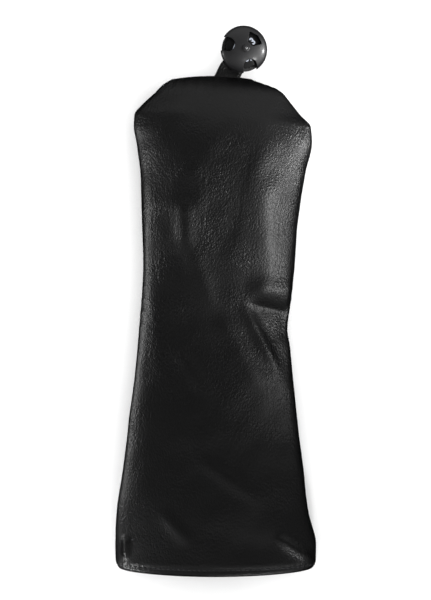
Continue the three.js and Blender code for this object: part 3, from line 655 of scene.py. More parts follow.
def stitch_tree():
    """Lays stitches along a line of edges that carries its outward direction."""
    tree = bpy.data.node_groups.new("Stitch row", "GeometryNodeTree")
    sockets = [
        ("Geometry", "INPUT", "NodeSocketGeometry", None),
        ("Pitch", "INPUT", "NodeSocketFloat", 3 * MM),
        ("Stitch length", "INPUT", "NodeSocketFloat", 2.4 * MM),
        ("Thread radius", "INPUT", "NodeSocketFloat", 0.3 * MM),
        ("Lift", "INPUT", "NodeSocketFloat", 0.2 * MM),
        ("Thread", "INPUT", "NodeSocketMaterial", None),
        ("Geometry", "OUTPUT", "NodeSocketGeometry", None),
    ]
    for name, side, kind, default in sockets:
        socket = tree.interface.new_socket(name, in_out=side, socket_type=kind)
        if default is not None:
            socket.default_value = default

    def add(kind, inputs=None, **settings):
        node = tree.nodes.new(kind)
        for key, value in settings.items():
            setattr(node, key, value)
        for key, value in (inputs or {}).items():
            if isinstance(value, bpy.types.NodeSocket):
                tree.links.new(value, node.inputs[key])
            else:
                node.inputs[key].default_value = value
        return node

    given = add("NodeGroupInput").outputs
    line = add("GeometryNodeMeshToCurve", {"Mesh": given["Geometry"]})
    places = add(
        "GeometryNodeCurveToPoints", {"Curve": line.outputs[0], "Length": given["Pitch"]}, mode="LENGTH"
    )
    facing = add("GeometryNodeInputNamedAttribute", {"Name": "outward"}, data_type="FLOAT_VECTOR")
    along = add(
        "FunctionNodeAlignRotationToVector", {"Vector": places.outputs["Tangent"]}, axis="X"
    )
    turned_up = add(
        "FunctionNodeAlignRotationToVector",
        {"Rotation": along.outputs[0], "Vector": facing.outputs["Attribute"]},
        axis="Z",
        pivot_axis="X",
    )
    half = add("ShaderNodeMath", {0: given["Stitch length"], 1: 0.5}, operation="MULTIPLY")
    minus = add("ShaderNodeMath", {0: half.outputs[0], 1: -1.0}, operation="MULTIPLY")
    sunk = add("ShaderNodeMath", {0: given["Thread radius"], 1: -1.4}, operation="MULTIPLY")
    start = add("ShaderNodeCombineXYZ", {"X": minus.outputs[0], "Z": sunk.outputs[0]})
    top = add("ShaderNodeCombineXYZ", {"Z": given["Lift"]})
    end = add("ShaderNodeCombineXYZ", {"X": half.outputs[0], "Z": sunk.outputs[0]})
    arc = add(
        "GeometryNodeCurveQuadraticBezier",
        {"Resolution": 7, "Start": start.outputs[0], "Middle": top.outputs[0], "End": end.outputs[0]},
    )
    round_section = add(
        "GeometryNodeCurvePrimitiveCircle", {"Resolution": 8, "Radius": given["Thread radius"]}
    )
    stitch = add(
        "GeometryNodeCurveToMesh",
        {"Curve": arc.outputs[0], "Profile Curve": round_section.outputs[0], "Fill Caps": True},
    )
    row = add(
        "GeometryNodeInstanceOnPoints",
        {
            "Points": places.outputs["Points"],
            "Instance": stitch.outputs[0],
            "Rotation": turned_up.outputs[0],
        },
    )
    real = add("GeometryNodeRealizeInstances", {"Geometry": row.outputs[0]})
    soft = add("GeometryNodeSetShadeSmooth", {"Geometry": real.outputs[0]})
    done = add("GeometryNodeSetMaterial", {"Geometry": soft.outputs[0], "Material": given["Thread"]})
    add("NodeGroupOutput", {"Geometry": done.outputs[0]})
    return tree


def stitch_row(name, line, facing, pitch, stitch, radius, material, closed=False, lift=0.25):
    """One row of stitches along a line of points in metres. Sizes are in millimetres."""
    tree = bpy.data.node_groups.get("Stitch row") or stitch_tree()
    count = len(line)
    mesh = bpy.data.meshes.new(name)
    edges = [(i, i + 1) for i in range(count - 1)] + ([(count - 1, 0)] if closed else [])
    mesh.from_pydata([tuple(p) for p in line], edges, [])
    attribute = mesh.attributes.new("outward", "FLOAT_VECTOR", "POINT")
    attribute.data.foreach_set("vector", np.asarray(facing, np.float32).ravel())
    row = bpy.data.objects.new(name, mesh)
    bpy.context.scene.collection.objects.link(row)
    nodes = row.modifiers.new("stitches", "NODES")
    nodes.node_group = tree
    items = tree.interface.items_tree
    inputs = {item.name: item.identifier for item in items if item.in_out == "INPUT"}
    nodes[inputs["Pitch"]] = pitch * MM
    nodes[inputs["Stitch length"]] = stitch * MM
    nodes[inputs["Thread radius"]] = radius * MM
    nodes[inputs["Lift"]] = lift * MM
    nodes[inputs["Thread"]] = material
    apply_modifiers(row)
    if "outward" in row.data.attributes:
        row.data.attributes.remove(row.data.attributes["outward"])
    return row


# ---------------------------------------------------------------- finishes


class Number:
    """A shader socket that takes part in sums."""

    def __init__(self, nodes, socket):
        self.nodes, self.socket = nodes, socket

    def _sum(self, operation, first, second):
        return self.nodes.add("ShaderNodeMath", {0: first, 1: second}, operation=operation)

    def __add__(self, other):
        return self._sum("ADD", self, other)

    def __radd__(self, other):
        return self._sum("ADD", other, self)

    def __sub__(self, other):
        return self._sum("SUBTRACT", self, other)

    def __rsub__(self, other):
        return self._sum("SUBTRACT", other, self)

    def __mul__(self, other):
        return self._sum("MULTIPLY", self, other)

    def __rmul__(self, other):
        return self._sum("MULTIPLY", other, self)


class Nodes:
    """A shader's node tree that is being filled."""

    def __init__(self, tree):
        self.tree = tree

    def add(self, kind, inputs=None, output=0, **settings):
        """Adds a node: its settings first, then its sockets. Returns one of its outputs."""
        node = self.tree.nodes.new(kind)
        for key, value in settings.items():
            setattr(node, key, value)
        for key, value in (inputs or {}).items():
            self.put(node.inputs[key], value)
        return Number(self, node.outputs[output])

    def put(self, socket, value):
        if isinstance(value, Number):
            self.tree.links.new(value.socket, socket)
        else:
            socket.default_value = value


class Finish(Nodes):
    """A material that is being made, node by node."""

    def __init__(self, name):
        self.material = bpy.data.materials.new(name)
        self.material.use_nodes = True
        super().__init__(self.material.node_tree)
        self.shader = self.tree.nodes["Principled BSDF"]

    def set(self, **values):
        """Sets the shader's own sockets, by name with _ for a space."""
        for key, value in values.items():
            self.put(self.shader.inputs[key.replace("_", " ")], value)
        return self

    def place(self, scale=(1, 1, 1), turn=(0, 0, 0)):
        """Object coordinates in millimetres, scaled."""
        coordinates = self.add("ShaderNodeTexCoord", output="Object")
        size = tuple(s / MM for s in scale)
        return self.add("ShaderNodeMapping", {"Vector": coordinates, "Scale": size, "Rotation": turn})

    def noise(self, vector, wavelength, detail=3.0, roughness=0.5, output="Fac"):
        settings = {"Vector": vector, "Scale": 1 / wavelength, "Detail": detail, "Roughness": roughness}
        return self.add("ShaderNodeTexNoise", settings, output=output)

    def cells(self, vector, width, feature="F1", smoothness=None):
        settings = {"Vector": vector, "Scale": 1 / width}
        if smoothness is not None:
            settings["Smoothness"] = smoothness
        return self.add("ShaderNodeTexVoronoi", settings, feature=feature)

    def blend(self, factor, first, second):
        """A colour between two, by a factor."""
        inputs = {"Factor": factor, 6: (*first, 1), 7: (*second, 1)}
        return self.add("ShaderNodeMix", inputs, output=2, data_type="RGBA")

    def bump(self, height, distance, strength=1.0):
        inputs = {"Height": height, "Distance": distance * MM, "Strength": strength}
        return self.add("ShaderNodeBump", inputs)

    def fit(self, value, low, high, to_low=0.0, to_high=1.0):
        inputs = {"Value": value, 1: low, 2: high, 3: to_low, 4: to_high}
        return self.add("ShaderNodeMapRange", inputs)


def scaled(color, factor):
    return tuple(min(channel * factor, 1.0) for channel in color)


def leather_finish(name, color, grain):
    """Satin pebbled leather: pebbles drawn out along the sleeve, fine creases between them, and
    patches where the leather is stretched smoother."""
    f = Finish(name)
    skin = f.place(scale=(1, 0.66, 1))
    broad = f.noise(f.place(), 26.0, detail=2)
    wander = f.noise(skin, 3.0 * grain, detail=2, output="Color")
    drift = f.add("ShaderNodeVectorMath", {0: wander, 1: (grain, grain, grain)}, operation="MULTIPLY")
    skin = f.add("ShaderNodeVectorMath", {0: skin, 1: drift}, operation="ADD")
    pebbles = f.cells(skin, grain, feature="SMOOTH_F1", smoothness=0.3)
    creases = f.cells(skin, grain * 2.3, feature="DISTANCE_TO_EDGE")
    fine = f.noise(skin, 0.45, detail=3)
    dome = f.fit(pebbles, 0.0, 0.8, 1.0, 0.0)
    fold = f.fit(creases, 0.0, 0.14, 0.0, 1.0)
    stretched = f.fit(broad, 0.38, 0.62, 0.5, 1.0)
    height = (dome + fold * 0.35) * stretched + fine * 0.1
    worn = f.fit(height, 0.2, 1.5)
    f.set(
        Base_Color=f.blend(worn, scaled(color, 0.6), scaled(color, 1.6)),
        Roughness=f.fit(worn + broad * 0.5, 0.2, 1.3, 0.43, 0.27),
        Normal=f.bump(height, 0.21, 0.85),
        Specular_IOR_Level=0.5,
    )
    return f.material


def fleece_finish(name, color):
    """Brushed pile: clumped, dull, with a soft sheen."""
    f = Finish(name)
    where = f.place()
    clumps = f.cells(where, 1.7, feature="SMOOTH_F1", smoothness=0.6)
    fibres = f.noise(where, 0.35, detail=4, roughness=0.7)
    broad = f.noise(where, 12.0)
    pile = f.fit(clumps, 0.0, 0.8, 1.0, 0.0) + fibres * 0.7
    f.set(
        Base_Color=f.blend(
            f.fit(pile + broad * 0.3, 0.2, 1.6), scaled(color, 0.45), scaled(color, 1.7)
        ),
        Roughness=f.fit(fibres, 0.2, 0.8, 0.85, 1.0),
        Normal=f.bump(pile, 0.7, 0.9),
        Sheen_Weight=0.35,
        Sheen_Roughness=0.5,
    )
    return f.material


def foam_finish(name, color):
    """Open-cell foam wadding."""
    f = Finish(name)
    where = f.place()
    cells = f.cells(where, 0.8, feature="DISTANCE_TO_EDGE")
    lumps = f.noise(where, 4.0)
    walls = f.fit(cells, 0.0, 0.25)
    f.set(
        Base_Color=f.blend(walls, scaled(color, 1.4), scaled(color, 0.6)),
        Roughness=f.fit(lumps, 0.3, 0.7, 0.85, 0.98),
        Normal=f.bump(1 - walls + lumps, 0.3, 0.7),
    )
    return f.material


def webbing_finish(name, color, pitch=0.9):
    """A close woven tape: ribs across, threads along."""
    f = Finish(name)
    where = f.place()
    ribs = f.add(
        "ShaderNodeTexWave",
        {"Vector": where, "Scale": 0.314 / pitch, "Distortion": 0.6, "Detail": 1.0},
        output="Fac",
        bands_direction="Y",
    )
    warps = f.add(
        "ShaderNodeTexWave",
        {"Vector": where, "Scale": 0.314 / (0.6 * pitch), "Distortion": 0.4},
        output="Fac",
        bands_direction="X",
    )
    fuzz = f.noise(where, 0.5, detail=3)
    weave = ribs * 0.6 + warps * 0.4
    f.set(
        Base_Color=f.blend(weave, scaled(color, 0.5), scaled(color, 2.0)),
        Roughness=f.fit(fuzz, 0.2, 0.8, 0.7, 0.95),
        Normal=f.bump(weave + fuzz * 0.3, 0.25, 0.8),
        Sheen_Weight=0.2,
    )
    return f.material


def thread_finish(name, color):
    """Twisted sewing thread."""
    f = Finish(name)
    twist = f.add(
        "ShaderNodeTexWave",
        {"Vector": f.place(turn=(0, 0, 0.7)), "Scale": 0.314 / 0.32, "Distortion": 1.0},
        output="Fac",
        bands_direction="DIAGONAL",
    )
    lint = f.noise(f.place(), 0.8)
    f.set(
        Base_Color=f.blend(twist * 0.6 + lint * 0.4, scaled(color, 0.5), scaled(color, 1.7)),
        Roughness=f.fit(lint, 0.3, 0.7, 0.4, 0.62),
        Normal=f.bump(twist, 0.12, 0.7),
        Sheen_Weight=0.15,
    )
    return f.material


def satin_finish(name, color):
    """Woven satin ribbon."""
    f = Finish(name)
    where = f.place()
    floats = f.noise(f.place(scale=(3.5, 0.5, 1)), 0.7, detail=2)
    soil = f.noise(where, 8.0)
    f.set(
        Base_Color=f.blend(soil, scaled(color, 0.86), scaled(color, 1.04)),
        Roughness=f.fit(floats, 0.3, 0.7, 0.36, 0.55),
        Normal=f.bump(floats, 0.08, 0.5),
        Sheen_Weight=0.2,
    )
    return f.material


def plastic_finish(name, color, gloss, shine=0.6):
    """Moulded plastic with a faint flow ripple and handling marks."""
    f = Finish(name)
    where = f.place()
    flow = f.noise(where, 7.0, detail=1)
    marks = f.noise(f.place(scale=(1, 6, 1), turn=(0, 0, 0.6)), 3.0, detail=5, roughness=0.7)
    peel = f.noise(where, 0.9, detail=2)
    scuffs = f.fit(marks, 0.58, 0.74)
    f.set(
        Base_Color=f.blend(scuffs * 0.6 + flow * 0.2, color, scaled(color, 2.4)),
        Roughness=f.fit(scuffs + flow * 0.3, 0.0, 1.3, gloss, gloss + 0.16),
        Normal=f.bump(flow + peel * 0.12, 0.08, 0.5),
        Specular_IOR_Level=shine,
        Coat_Weight=f.fit(scuffs, 0.0, 1.0, 0.4 * shine, 0.15 * shine),
        Coat_Roughness=0.15,
    )
    return f.material


def paint_finish(name, color):
    """Pad-printed numerals, a little worn at their edges."""
    f = Finish(name)
    wear = f.noise(f.place(), 0.7, detail=4)
    f.set(
        Base_Color=f.blend(f.fit(wear, 0.35, 0.6), scaled(color, 0.75), color),
        Roughness=f.fit(wear, 0.3, 0.7, 0.34, 0.52),
        Normal=f.bump(wear, 0.03, 0.4),
    )
    return f.material


def metal_finish(name, color):
    """Bright nickel plate, brushed round by its press tool."""
    f = Finish(name)
    brushed = f.noise(f.place(scale=(1, 1, 7)), 1.2, detail=4)
    spots = f.noise(f.place(), 2.4, detail=4)
    f.set(
        Base_Color=f.blend(spots, scaled(color, 0.8), color),
        Roughness=f.fit(brushed + spots * 0.4, 0.4, 1.0, 0.16, 0.36),
        Metallic=1.0,
        Normal=f.bump(brushed, 0.02, 0.4),
    )
    return f.material


def floor_finish(name):
    """A pale seamless sweep, with a barely seen mottle."""
    f = Finish(name)
    mottle = f.noise(f.place(), 90.0)
    f.set(
        Base_Color=f.blend(mottle, (0.9, 0.9, 0.9), (0.93, 0.93, 0.93)),
        Roughness=f.fit(mottle, 0.3, 0.7, 0.75, 0.9),
    )
    return f.material


def studio_light(sweep, overhead):
    """A white sweep that lights the floor evenly. What glossy surfaces mirror is a dark studio with
    a broad soft light past the crown."""
    world = bpy.data.worlds.new("studio")
    world.use_nodes = True
    nodes = Nodes(world.node_tree)
    direction = nodes.add("ShaderNodeTexCoord", output="Generated")
    aside, past_crown, height = (
        nodes.add("ShaderNodeSeparateXYZ", {"Vector": direction}, output=axis) for axis in "XYZ"
    )

    def eased(value, start, end):
        inputs = {"Value": value, 1: start, 2: end}
        return nodes.add("ShaderNodeMapRange", inputs, interpolation_type="SMOOTHSTEP")

    crown, right = eased(past_crown, 0.15, 0.85), eased(aside, 0.0, 1.0)
    hemward, low = eased(past_crown, -0.05, -0.34), eased(past_crown, -0.55, -0.85)
    above = eased(height, -0.1, 0.3)
    mirrored = (0.02 + 0.58 * crown + 0.05 * right + 0.36 * hemward * (1 - low)) * above * overhead
    glossy = nodes.add("ShaderNodeLightPath", output="Is Glossy Ray")
    world.cycles.sampling_method = "NONE"
    background = world.node_tree.nodes["Background"]
    background.inputs["Color"].default_value = (1.0, 1.0, 1.0, 1)
    nodes.put(background.inputs["Strength"], (1 - glossy) * sweep + glossy * mirrored)
    return world


def finishes():
    """Makes each material once, and keeps it by name."""
    made = bpy.data.materials
    look = bpy.context.scene.finish_settings
    makers = {
        "leather": lambda n: leather_finish(n, look.leather_color, look.grain / MM),
        "strap_leather": lambda n: leather_finish(n, look.leather_color, look.grain / MM * 0.75),
        "fleece": lambda n: fleece_finish(n, look.fleece_color),
        "foam": lambda n: foam_finish(n, (0.12, 0.12, 0.13)),
        "webbing": lambda n: webbing_finish(n, (0.016, 0.016, 0.018)),
        "thread": lambda n: thread_finish(n, (0.01, 0.01, 0.012)),
        "satin": lambda n: satin_finish(n, (0.7, 0.7, 0.68)),
        "gloss_plastic": lambda n: plastic_finish(n, look.plastic_color, 0.44),
        # The wheel's plastic is the tag's black plastic darkened to a third, with less shine: painted
        # shade for the recess under the dome.
        "wheel_plastic": lambda n: plastic_finish(n, scaled(look.plastic_color, 0.35), 0.55, 0.22),
        "numeral_paint": lambda n: paint_finish(n, look.numeral_color),
        "nickel": lambda n: metal_finish(n, (0.62, 0.62, 0.63)),
    }
    names = {name: f"{name}_finish" for name in makers}
    return {name: made.get(names[name]) or make(names[name]) for name, make in makers.items()}


# ---------------------------------------------------------------- pieces of the sleeve


def sizes_mm():
    """Thickness of the leather, wadding and fleece, and the hem's turned-in length."""
    s = bpy.context.scene.sleeve_sizes
    return s.leather / MM, s.padding / MM, s.lining / MM, s.hem_turn / MM


CLEARANCE = 0.3
FOLD_RADIUS = 2.2
POCKET = 4.0
TAPE_SHIFT = 2.6
LAYER_EDGE = 2.6
PADDING_START = 236
ELASTIC_SPAN = (179.5, 204.5)


def even_columns(count, edge=0.35):
    """Places from seam to seam, closer together at the seams."""
    t = np.linspace(0, 1, count)
    return t - edge * np.sin(2 * math.pi * t) / (2 * math.pi)


def leather_panel(half, material):
    """One leather panel: its face, the fold at the hem and the turned-in facing."""
    leather, _, _, turn = sizes_mm()
    body = np.linspace(1, 0, 270)
    face_d = FOLD_RADIUS + (length - FOLD_RADIUS) * (1 - (1 - body) ** 1.06)
    bend = np.linspace(0.12, 0.88, 9) * math.pi
    facing_d = np.linspace(FOLD_RADIUS, turn, 14)
    outer = [
        *zip(face_d, np.zeros(len(face_d))),
        *zip(FOLD_RADIUS * (1 - np.sin(bend)), FOLD_RADIUS * (1 - np.cos(bend))),
        *zip(facing_d, np.full(14, 2 * FOLD_RADIUS)),
    ]
    tight = FOLD_RADIUS - leather
    crown_room = np.where(face_d > length - 30, (face_d - length + 30) / 30, 0)
    inner = [
        *zip(face_d - 3.4 * crown_room, np.full(len(face_d), leather)),
        *zip(FOLD_RADIUS - tight * np.sin(bend), FOLD_RADIUS - tight * np.cos(bend)),
        *zip(facing_d, np.full(14, 2 * FOLD_RADIUS - leather)),
    ]
    t = even_columns(156)[None, :]
    grids = [
        sleeve_points(half, np.array(side)[:, :1], t, np.array(side)[:, 1:]) for side in (outer, inner)
    ]
    return strip_mesh(f"{half}_leather", *grids, material)


def inner_layer(
    name, half, start, end, outer_depth, thickness, material, rows, columns, rough=0.0, seed=1
):
    """A layer inside the leather, in its pocket between the seams."""
    d = np.linspace(start, end, rows)[:, None]
    t = even_columns(columns)[None, :]
    depth = outer_depth(d)
    grids = [
        sleeve_points(half, d, t, depth, stop=POCKET, gap=LAYER_EDGE),
        sleeve_points(half, d, t, depth + thickness, stop=POCKET, gap=LAYER_EDGE),
    ]
    if rough:
        random = np.random.default_rng(seed)
        form = smooth_form(half, d, t)
        pile = 0.5 * soft_waves(form[..., 0], form[..., 1], 3.1, seed)
        pile = pile + random.random(form.shape[:2]) - 0.5
        inward = -outward(half, d, t)
        inward[..., 1] *= 0.2
        grids[1] = grids[1] + inward * (rough * pile * MM)[..., None]
    return strip_mesh(name, *grids, material)


def lining_depth(half):
    """How deep the fleece lies under the leather's face, as a function of place."""
    leather, padding, _, turn = sizes_mm()
    under_leather = leather + CLEARANCE
    under_padding = under_leather + padding + CLEARANCE
    under_elastic = under_leather + 1.5
    points = [
        (0, under_leather),
        (PADDING_START - 16, under_leather),
        (PADDING_START - 1, under_padding),
    ]
    if half == "back":
        points[1:2] = [
            (ELASTIC_SPAN[0] - 16, under_leather),
            (ELASTIC_SPAN[0] - 1, under_elastic),
            (ELASTIC_SPAN[1] + 1, under_elastic),
        ]
    points.append((length, under_padding))
    xs, ys = zip(*points)
    return lambda d: np.interp(d, xs, ys)


TAPE_TURNS = [2 * math.pi * i / 12 for i in range(12)]


def boxy(turn):
    """A point on a unit square with rounded corners."""
    across, up = math.cos(turn), math.sin(turn)
    return math.copysign(abs(across) ** 0.35, across), math.copysign(abs(up) ** 0.35, up)


def seam_strip(name, side, start, end, inset, width, thick, material):
    """A tape swept up inside a side seam, folded over the seam allowances."""
    rows = np.linspace(start, end, 160)
    t = np.full(len(rows), 0.0 if side > 0 else 1.0)
    rings = []
    for turn in TAPE_TURNS:
        across, up = boxy(turn)
        line = sleeve_points("front", rows, t, inset + (1 + across) * width / 2, gap=0.0)
        line[:, 2] = seam_z + up * thick / 2 * MM + 0.12 * MM * np.sin(rows * 1.7)
        rings.append(line)
    return closed_sweep(name, np.array(rings).transpose(1, 0, 2), material)


def closed_sweep(name, rings, material):
    """A closed body through rings of points, with a face over each end."""
    rows, count = rings.shape[:2]
    faces = []
    for i in range(rows - 1):
        for j in range(count):
            k = (j + 1) % count
            faces.append([i * count + j, i * count + k, (i + 1) * count + k, (i + 1) * count + j])
    faces.append(list(range(count))[::-1])
    faces.append([(rows - 1) * count + j for j in range(count)])
    piece = add_mesh(name, rings.reshape(-1, 3), faces, [material])
    return face_out(piece)


def row_on_leather(half, d, start=0.0, end=1.0, lift=0.0, count=420):
    """A line across a half on its leather, and its outward directions."""
    t = np.linspace(start, end, count)
    at = np.full(count, float(d))
    return sleeve_points(half, at, t, -lift), outward(half, at, t)


# ---------------------------------------------------------------- the tag's own frame


def tag_place():
    """The tag's frame: +Z along the pin, +Y towards the window."""
    joint = joints["tag_swivel"]
    axis = Vector(joint["axis"]).normalized()
    bearing = bpy.context.scene.tag_sizes.bearing
    window = Vector((math.cos(bearing), math.sin(bearing), 0))
    window.z = -(axis.x * window.x + axis.y * window.y) / axis.z
    window.normalize()
    right = window.cross(axis)
    turn = Matrix((right, window, axis)).transposed().to_4x4()
    return Matrix.Translation(Vector(joint["pos_m"])) @ turn


# Sizes of the tag and strap, in millimetres. Heights run along the pin from the base's underside.
BASE_TOP = 1.8
DOME_FOOT = 2.1
DOME_SKIRT = 1.3
DOME_RISE = 6.8
DOME_WALL = 1.4
BORE = 1.9
WHEEL_FOOT = 2.9
WHEEL_RIM_TOP = 4.9
WHEEL_TOP = 7.5
WHEEL_RADIUS = 14.4
WHEEL_FLAT = 5.5
STRAP_MIDDLE = -2.4
STRAP_HALF = 1.2
STRAP_END_RADIUS = 7.5
STRAP_TAIL = 11.5
PIN_HOLE = 2.75
PIN_TIP = 0.95
BASE_INSET = 1.2
SCALLOP_BEARING = 120
NUMERAL_SIZE = 7.2
NUMERAL_RADIUS = 8.0
NUMERAL_TURN = 82


def dome_height(radius, wall, tag_radius):
    """Height of the dome's face, or of its inside when wall is its thickness."""
    share = np.clip(np.asarray(radius, float) / (tag_radius - wall), 0, 1)
    return DOME_FOOT + DOME_SKIRT + (DOME_RISE - wall) * np.sqrt(1 - share * share)


def cutter(name, outline, low, high, place_turn=0.0):
    """A closed prism of an outline in millimetres, to cut with."""
    count = len(outline)
    points = [(x, y, low) for x, y in outline] + [(x, y, high) for x, y in outline]
    faces = [list(range(count))[::-1], [count + i for i in range(count)]]
    faces += [[i, (i + 1) % count, count + (i + 1) % count, count + i] for i in range(count)]
    tool = add_mesh(name, np.array(points) * MM, faces, shade=False)
    face_out(tool)
    tool.data.transform(Matrix.Rotation(place_turn, 4, "Z"))
    return tool


def window_outline():
    """A rounded wedge, centred on +Y."""
    wedge = [(-2.3, 4.7), (2.3, 4.7), (6.5, 11.6), (0, 13.8), (-6.5, 11.6)]
    return rounded(wedge, 1.7, 8)


def scallop_outline(tag_radius):
    """A round-ended slot, open past the rim, along +Y."""
    radius, centre = 5.2, tag_radius - 4.0
    out = [(radius, tag_radius + 4), (-radius, tag_radius + 4)]
    for i in range(25):
        turn = math.pi + math.pi * i / 24
        out.append((radius * math.cos(turn), centre + radius * math.sin(turn)))
    return out


def tag_dome(material):
    """The domed cover, cut by its window and thumb scallops, with moulded soft edges."""
    tag_radius = bpy.context.scene.tag_sizes.radius / MM
    turns = np.linspace(0, math.pi / 2, 30)

    def face(wall):
        radii = BORE + (tag_radius - wall - BORE) * np.sin(turns)
        return list(zip(radii, dome_height(radii, wall, tag_radius)))

    profile = [*face(0), (tag_radius, DOME_FOOT), (tag_radius - DOME_WALL, DOME_FOOT)]
    profile += face(DOME_WALL)[::-1]
    dome = turned("tag_dome_shell", profile, material, Matrix.Identity(4), segments=160)
    low, high = DOME_FOOT - 1, DOME_FOOT + DOME_SKIRT + DOME_RISE + 1
    tools = [cutter("window", window_outline(), low, high)]
    for side in (-1, 1):
        turn = side * math.radians(SCALLOP_BEARING)
        tools.append(cutter("scallop", scallop_outline(tag_radius), low, high, turn))
    for tool in tools:
        cut = dome.modifiers.new("cut", "BOOLEAN")
        cut.object, cut.operation, cut.solver = tool, "DIFFERENCE", "EXACT"
    apply_modifiers(dome)
    for tool in tools:
        bpy.data.objects.remove(tool)
    remesh = dome.modifiers.new("moulded", "REMESH")
    remesh.mode, remesh.voxel_size, remesh.use_smooth_shade = "VOXEL", 0.2 * MM, True
    soften = dome.modifiers.new("soft edges", "SMOOTH")
    soften.factor, soften.iterations = 0.5, 6
    apply_modifiers(dome)
    dome.data.materials.clear()
    dome.data.materials.append(material)
    dome.data.transform(tag_place())
    return dome


def brighten_tip(pin, place, head, material):
    """Gives the middle of the pin's head the bare steel of its core."""
    pin.data.materials.append(material)
    back = place.inverted()
    for face in pin.data.polygons:
        middle = back @ face.center / MM
        if middle.z > head + 0.6 and math.hypot(middle.x, middle.y) < PIN_TIP:
            face.material_index = 1


def numeral(text, turn, material):
    """One numeral, lying on its side on the wheel's slope."""
    font = bpy.data.curves.new(f"numeral_{text}", "FONT")
    font.body = text
    font.size = NUMERAL_SIZE * MM
    font.align_x, font.align_y = "CENTER", "CENTER"
    font.extrude = 0.12 * MM
    font.bevel_depth = 0.05 * MM
    font.offset = 0.16 * MM
    letter = bpy.data.objects.new(f"numeral_{text}", font)
    bpy.context.scene.collection.objects.link(letter)
    mesh = bpy.data.meshes.new_from_object(letter.evaluated_get(bpy.context.evaluated_depsgraph_get()))
    bpy.data.objects.remove(letter)
    mesh.materials.clear()
    mesh.materials.append(material)
    lows = np.array([v.co for v in mesh.vertices])
    centre = (lows.min(0) + lows.max(0)) / 2
    slope = math.atan2(WHEEL_TOP - WHEEL_RIM_TOP, WHEEL_RADIUS - 1 - WHEEL_FLAT)
    height = WHEEL_RIM_TOP + (WHEEL_RADIUS - 1 - NUMERAL_RADIUS) * math.tan(slope) + 0.1
    mesh.transform(Matrix.Translation((-centre[0], -centre[1], 0)))
    mesh.transform(Matrix.Rotation(math.radians(NUMERAL_TURN), 4, "Z"))
    mesh.transform(Matrix.Rotation(-slope, 4, "X"))
    mesh.transform(Matrix.Translation((0, NUMERAL_RADIUS * MM, height * MM)))
    mesh.transform(Matrix.Rotation(turn, 4, "Z"))
    mesh.transform(tag_place())
    piece = bpy.data.objects.new(f"numeral_{text}", mesh)
    bpy.context.scene.collection.objects.link(piece)
    return face_out(piece)


# ---------------------------------------------------------------- operators


def declare(piece, body, node, slot):
    """Says which body a piece moves with and which CAD node it stands for, which it hides. Its slot,
    what it is made of, is not used.
    """
    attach(piece, body)
    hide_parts(node)


class Piece:
    """What every piece's operator shares."""

    bl_options = {"REGISTER", "UNDO"}

    def execute(self, context):
        self.make(context, finishes())
        return {"FINISHED"}


class COVER_OT_slack(Piece, bpy.types.Operator):
    """Simulates how the leather settles, which every layer of the sleeve then follows"""

    bl_idname = "cover.slack"
    bl_label = "Settle Leather"

    def make(self, context, finish):
        simulate_slack()


class COVER_OT_leather(Piece, bpy.types.Operator):
    """Adds the front and back leather panels, turned in at the hem"""

    bl_idname = "cover.leather"
    bl_label = "Leather Panels"

    def make(self, context, finish):
        for half in SIDE:
            panel = leather_panel(half, finish["leather"])
            declare(panel, "cover", f"{half}_panel", "leather")


class COVER_OT_padding(Piece, bpy.types.Operator):
    """Adds the wadding in the head"""

    bl_idname = "cover.padding"
    bl_label = "Padding"

    def make(self, context, finish):
        leather, padding, _, _ = sizes_mm()
        for half in SIDE:
            end = length - (20 if half == "front" else 28)
            wadding = inner_layer(
                f"{half}_wadding",
                half,
                PADDING_START,
                end,
                lambda d: np.full(d.shape, leather + CLEARANCE),
                padding,
                finish["foam"],
                90,
                100,
            )
            declare(wadding, "cover", f"{half}_padding", "foam")


class COVER_OT_lining(Piece, bpy.types.Operator):
    """Adds the fleece lining, seen through the mouth"""

    bl_idname = "cover.lining"
    bl_label = "Lining"

    def make(self, context, finish):
        _, _, lining, turn = sizes_mm()
        for half in SIDE:
            end = length - (26 if half == "front" else 34)
            fleece = inner_layer(
                f"{half}_fleece",
                half,
                turn + CLEARANCE,
                end,
                lining_depth(half),
                lining,
                finish["fleece"],
                250,
                130,
                rough=0.55,
                seed=7 if half == "front" else 8,
            )
            declare(fleece, "cover", f"{half}_lining", "plush")


class COVER_OT_seams(Piece, bpy.types.Operator):
    """Adds the bound seam allowances and the seams' stitches"""

    bl_idname = "cover.seams"
    bl_label = "Seams"

    def make(self, context, finish):
        _, _, _, turn = sizes_mm()
        start, end = turn + 1, length - 22
        for name, side in (("left", -1), ("right", 1)):
            tape = seam_strip(f"{name}_binding", side, start, end, 2.0, 6.4, 1.5, finish["webbing"])
            declare(tape, "cover", f"{name}_seam_binding", "webbing")
            rows = np.linspace(start, end, 300)
            t = np.full(len(rows), 0.0 if side > 0 else 1.0)
            line = sleeve_points("front", rows, t, 4.0, gap=0.0)
            line[:, 2] = seam_z + 0.85 * MM
            facing = np.tile((0.0, 0.0, 1.0), (len(rows), 1))
            row = stitch_row(f"{name}_seam_stitches", line, facing, 3.0, 2.5, 0.25, finish["thread"])
            declare(row, "cover", f"{name}_seam_thread", "thread")


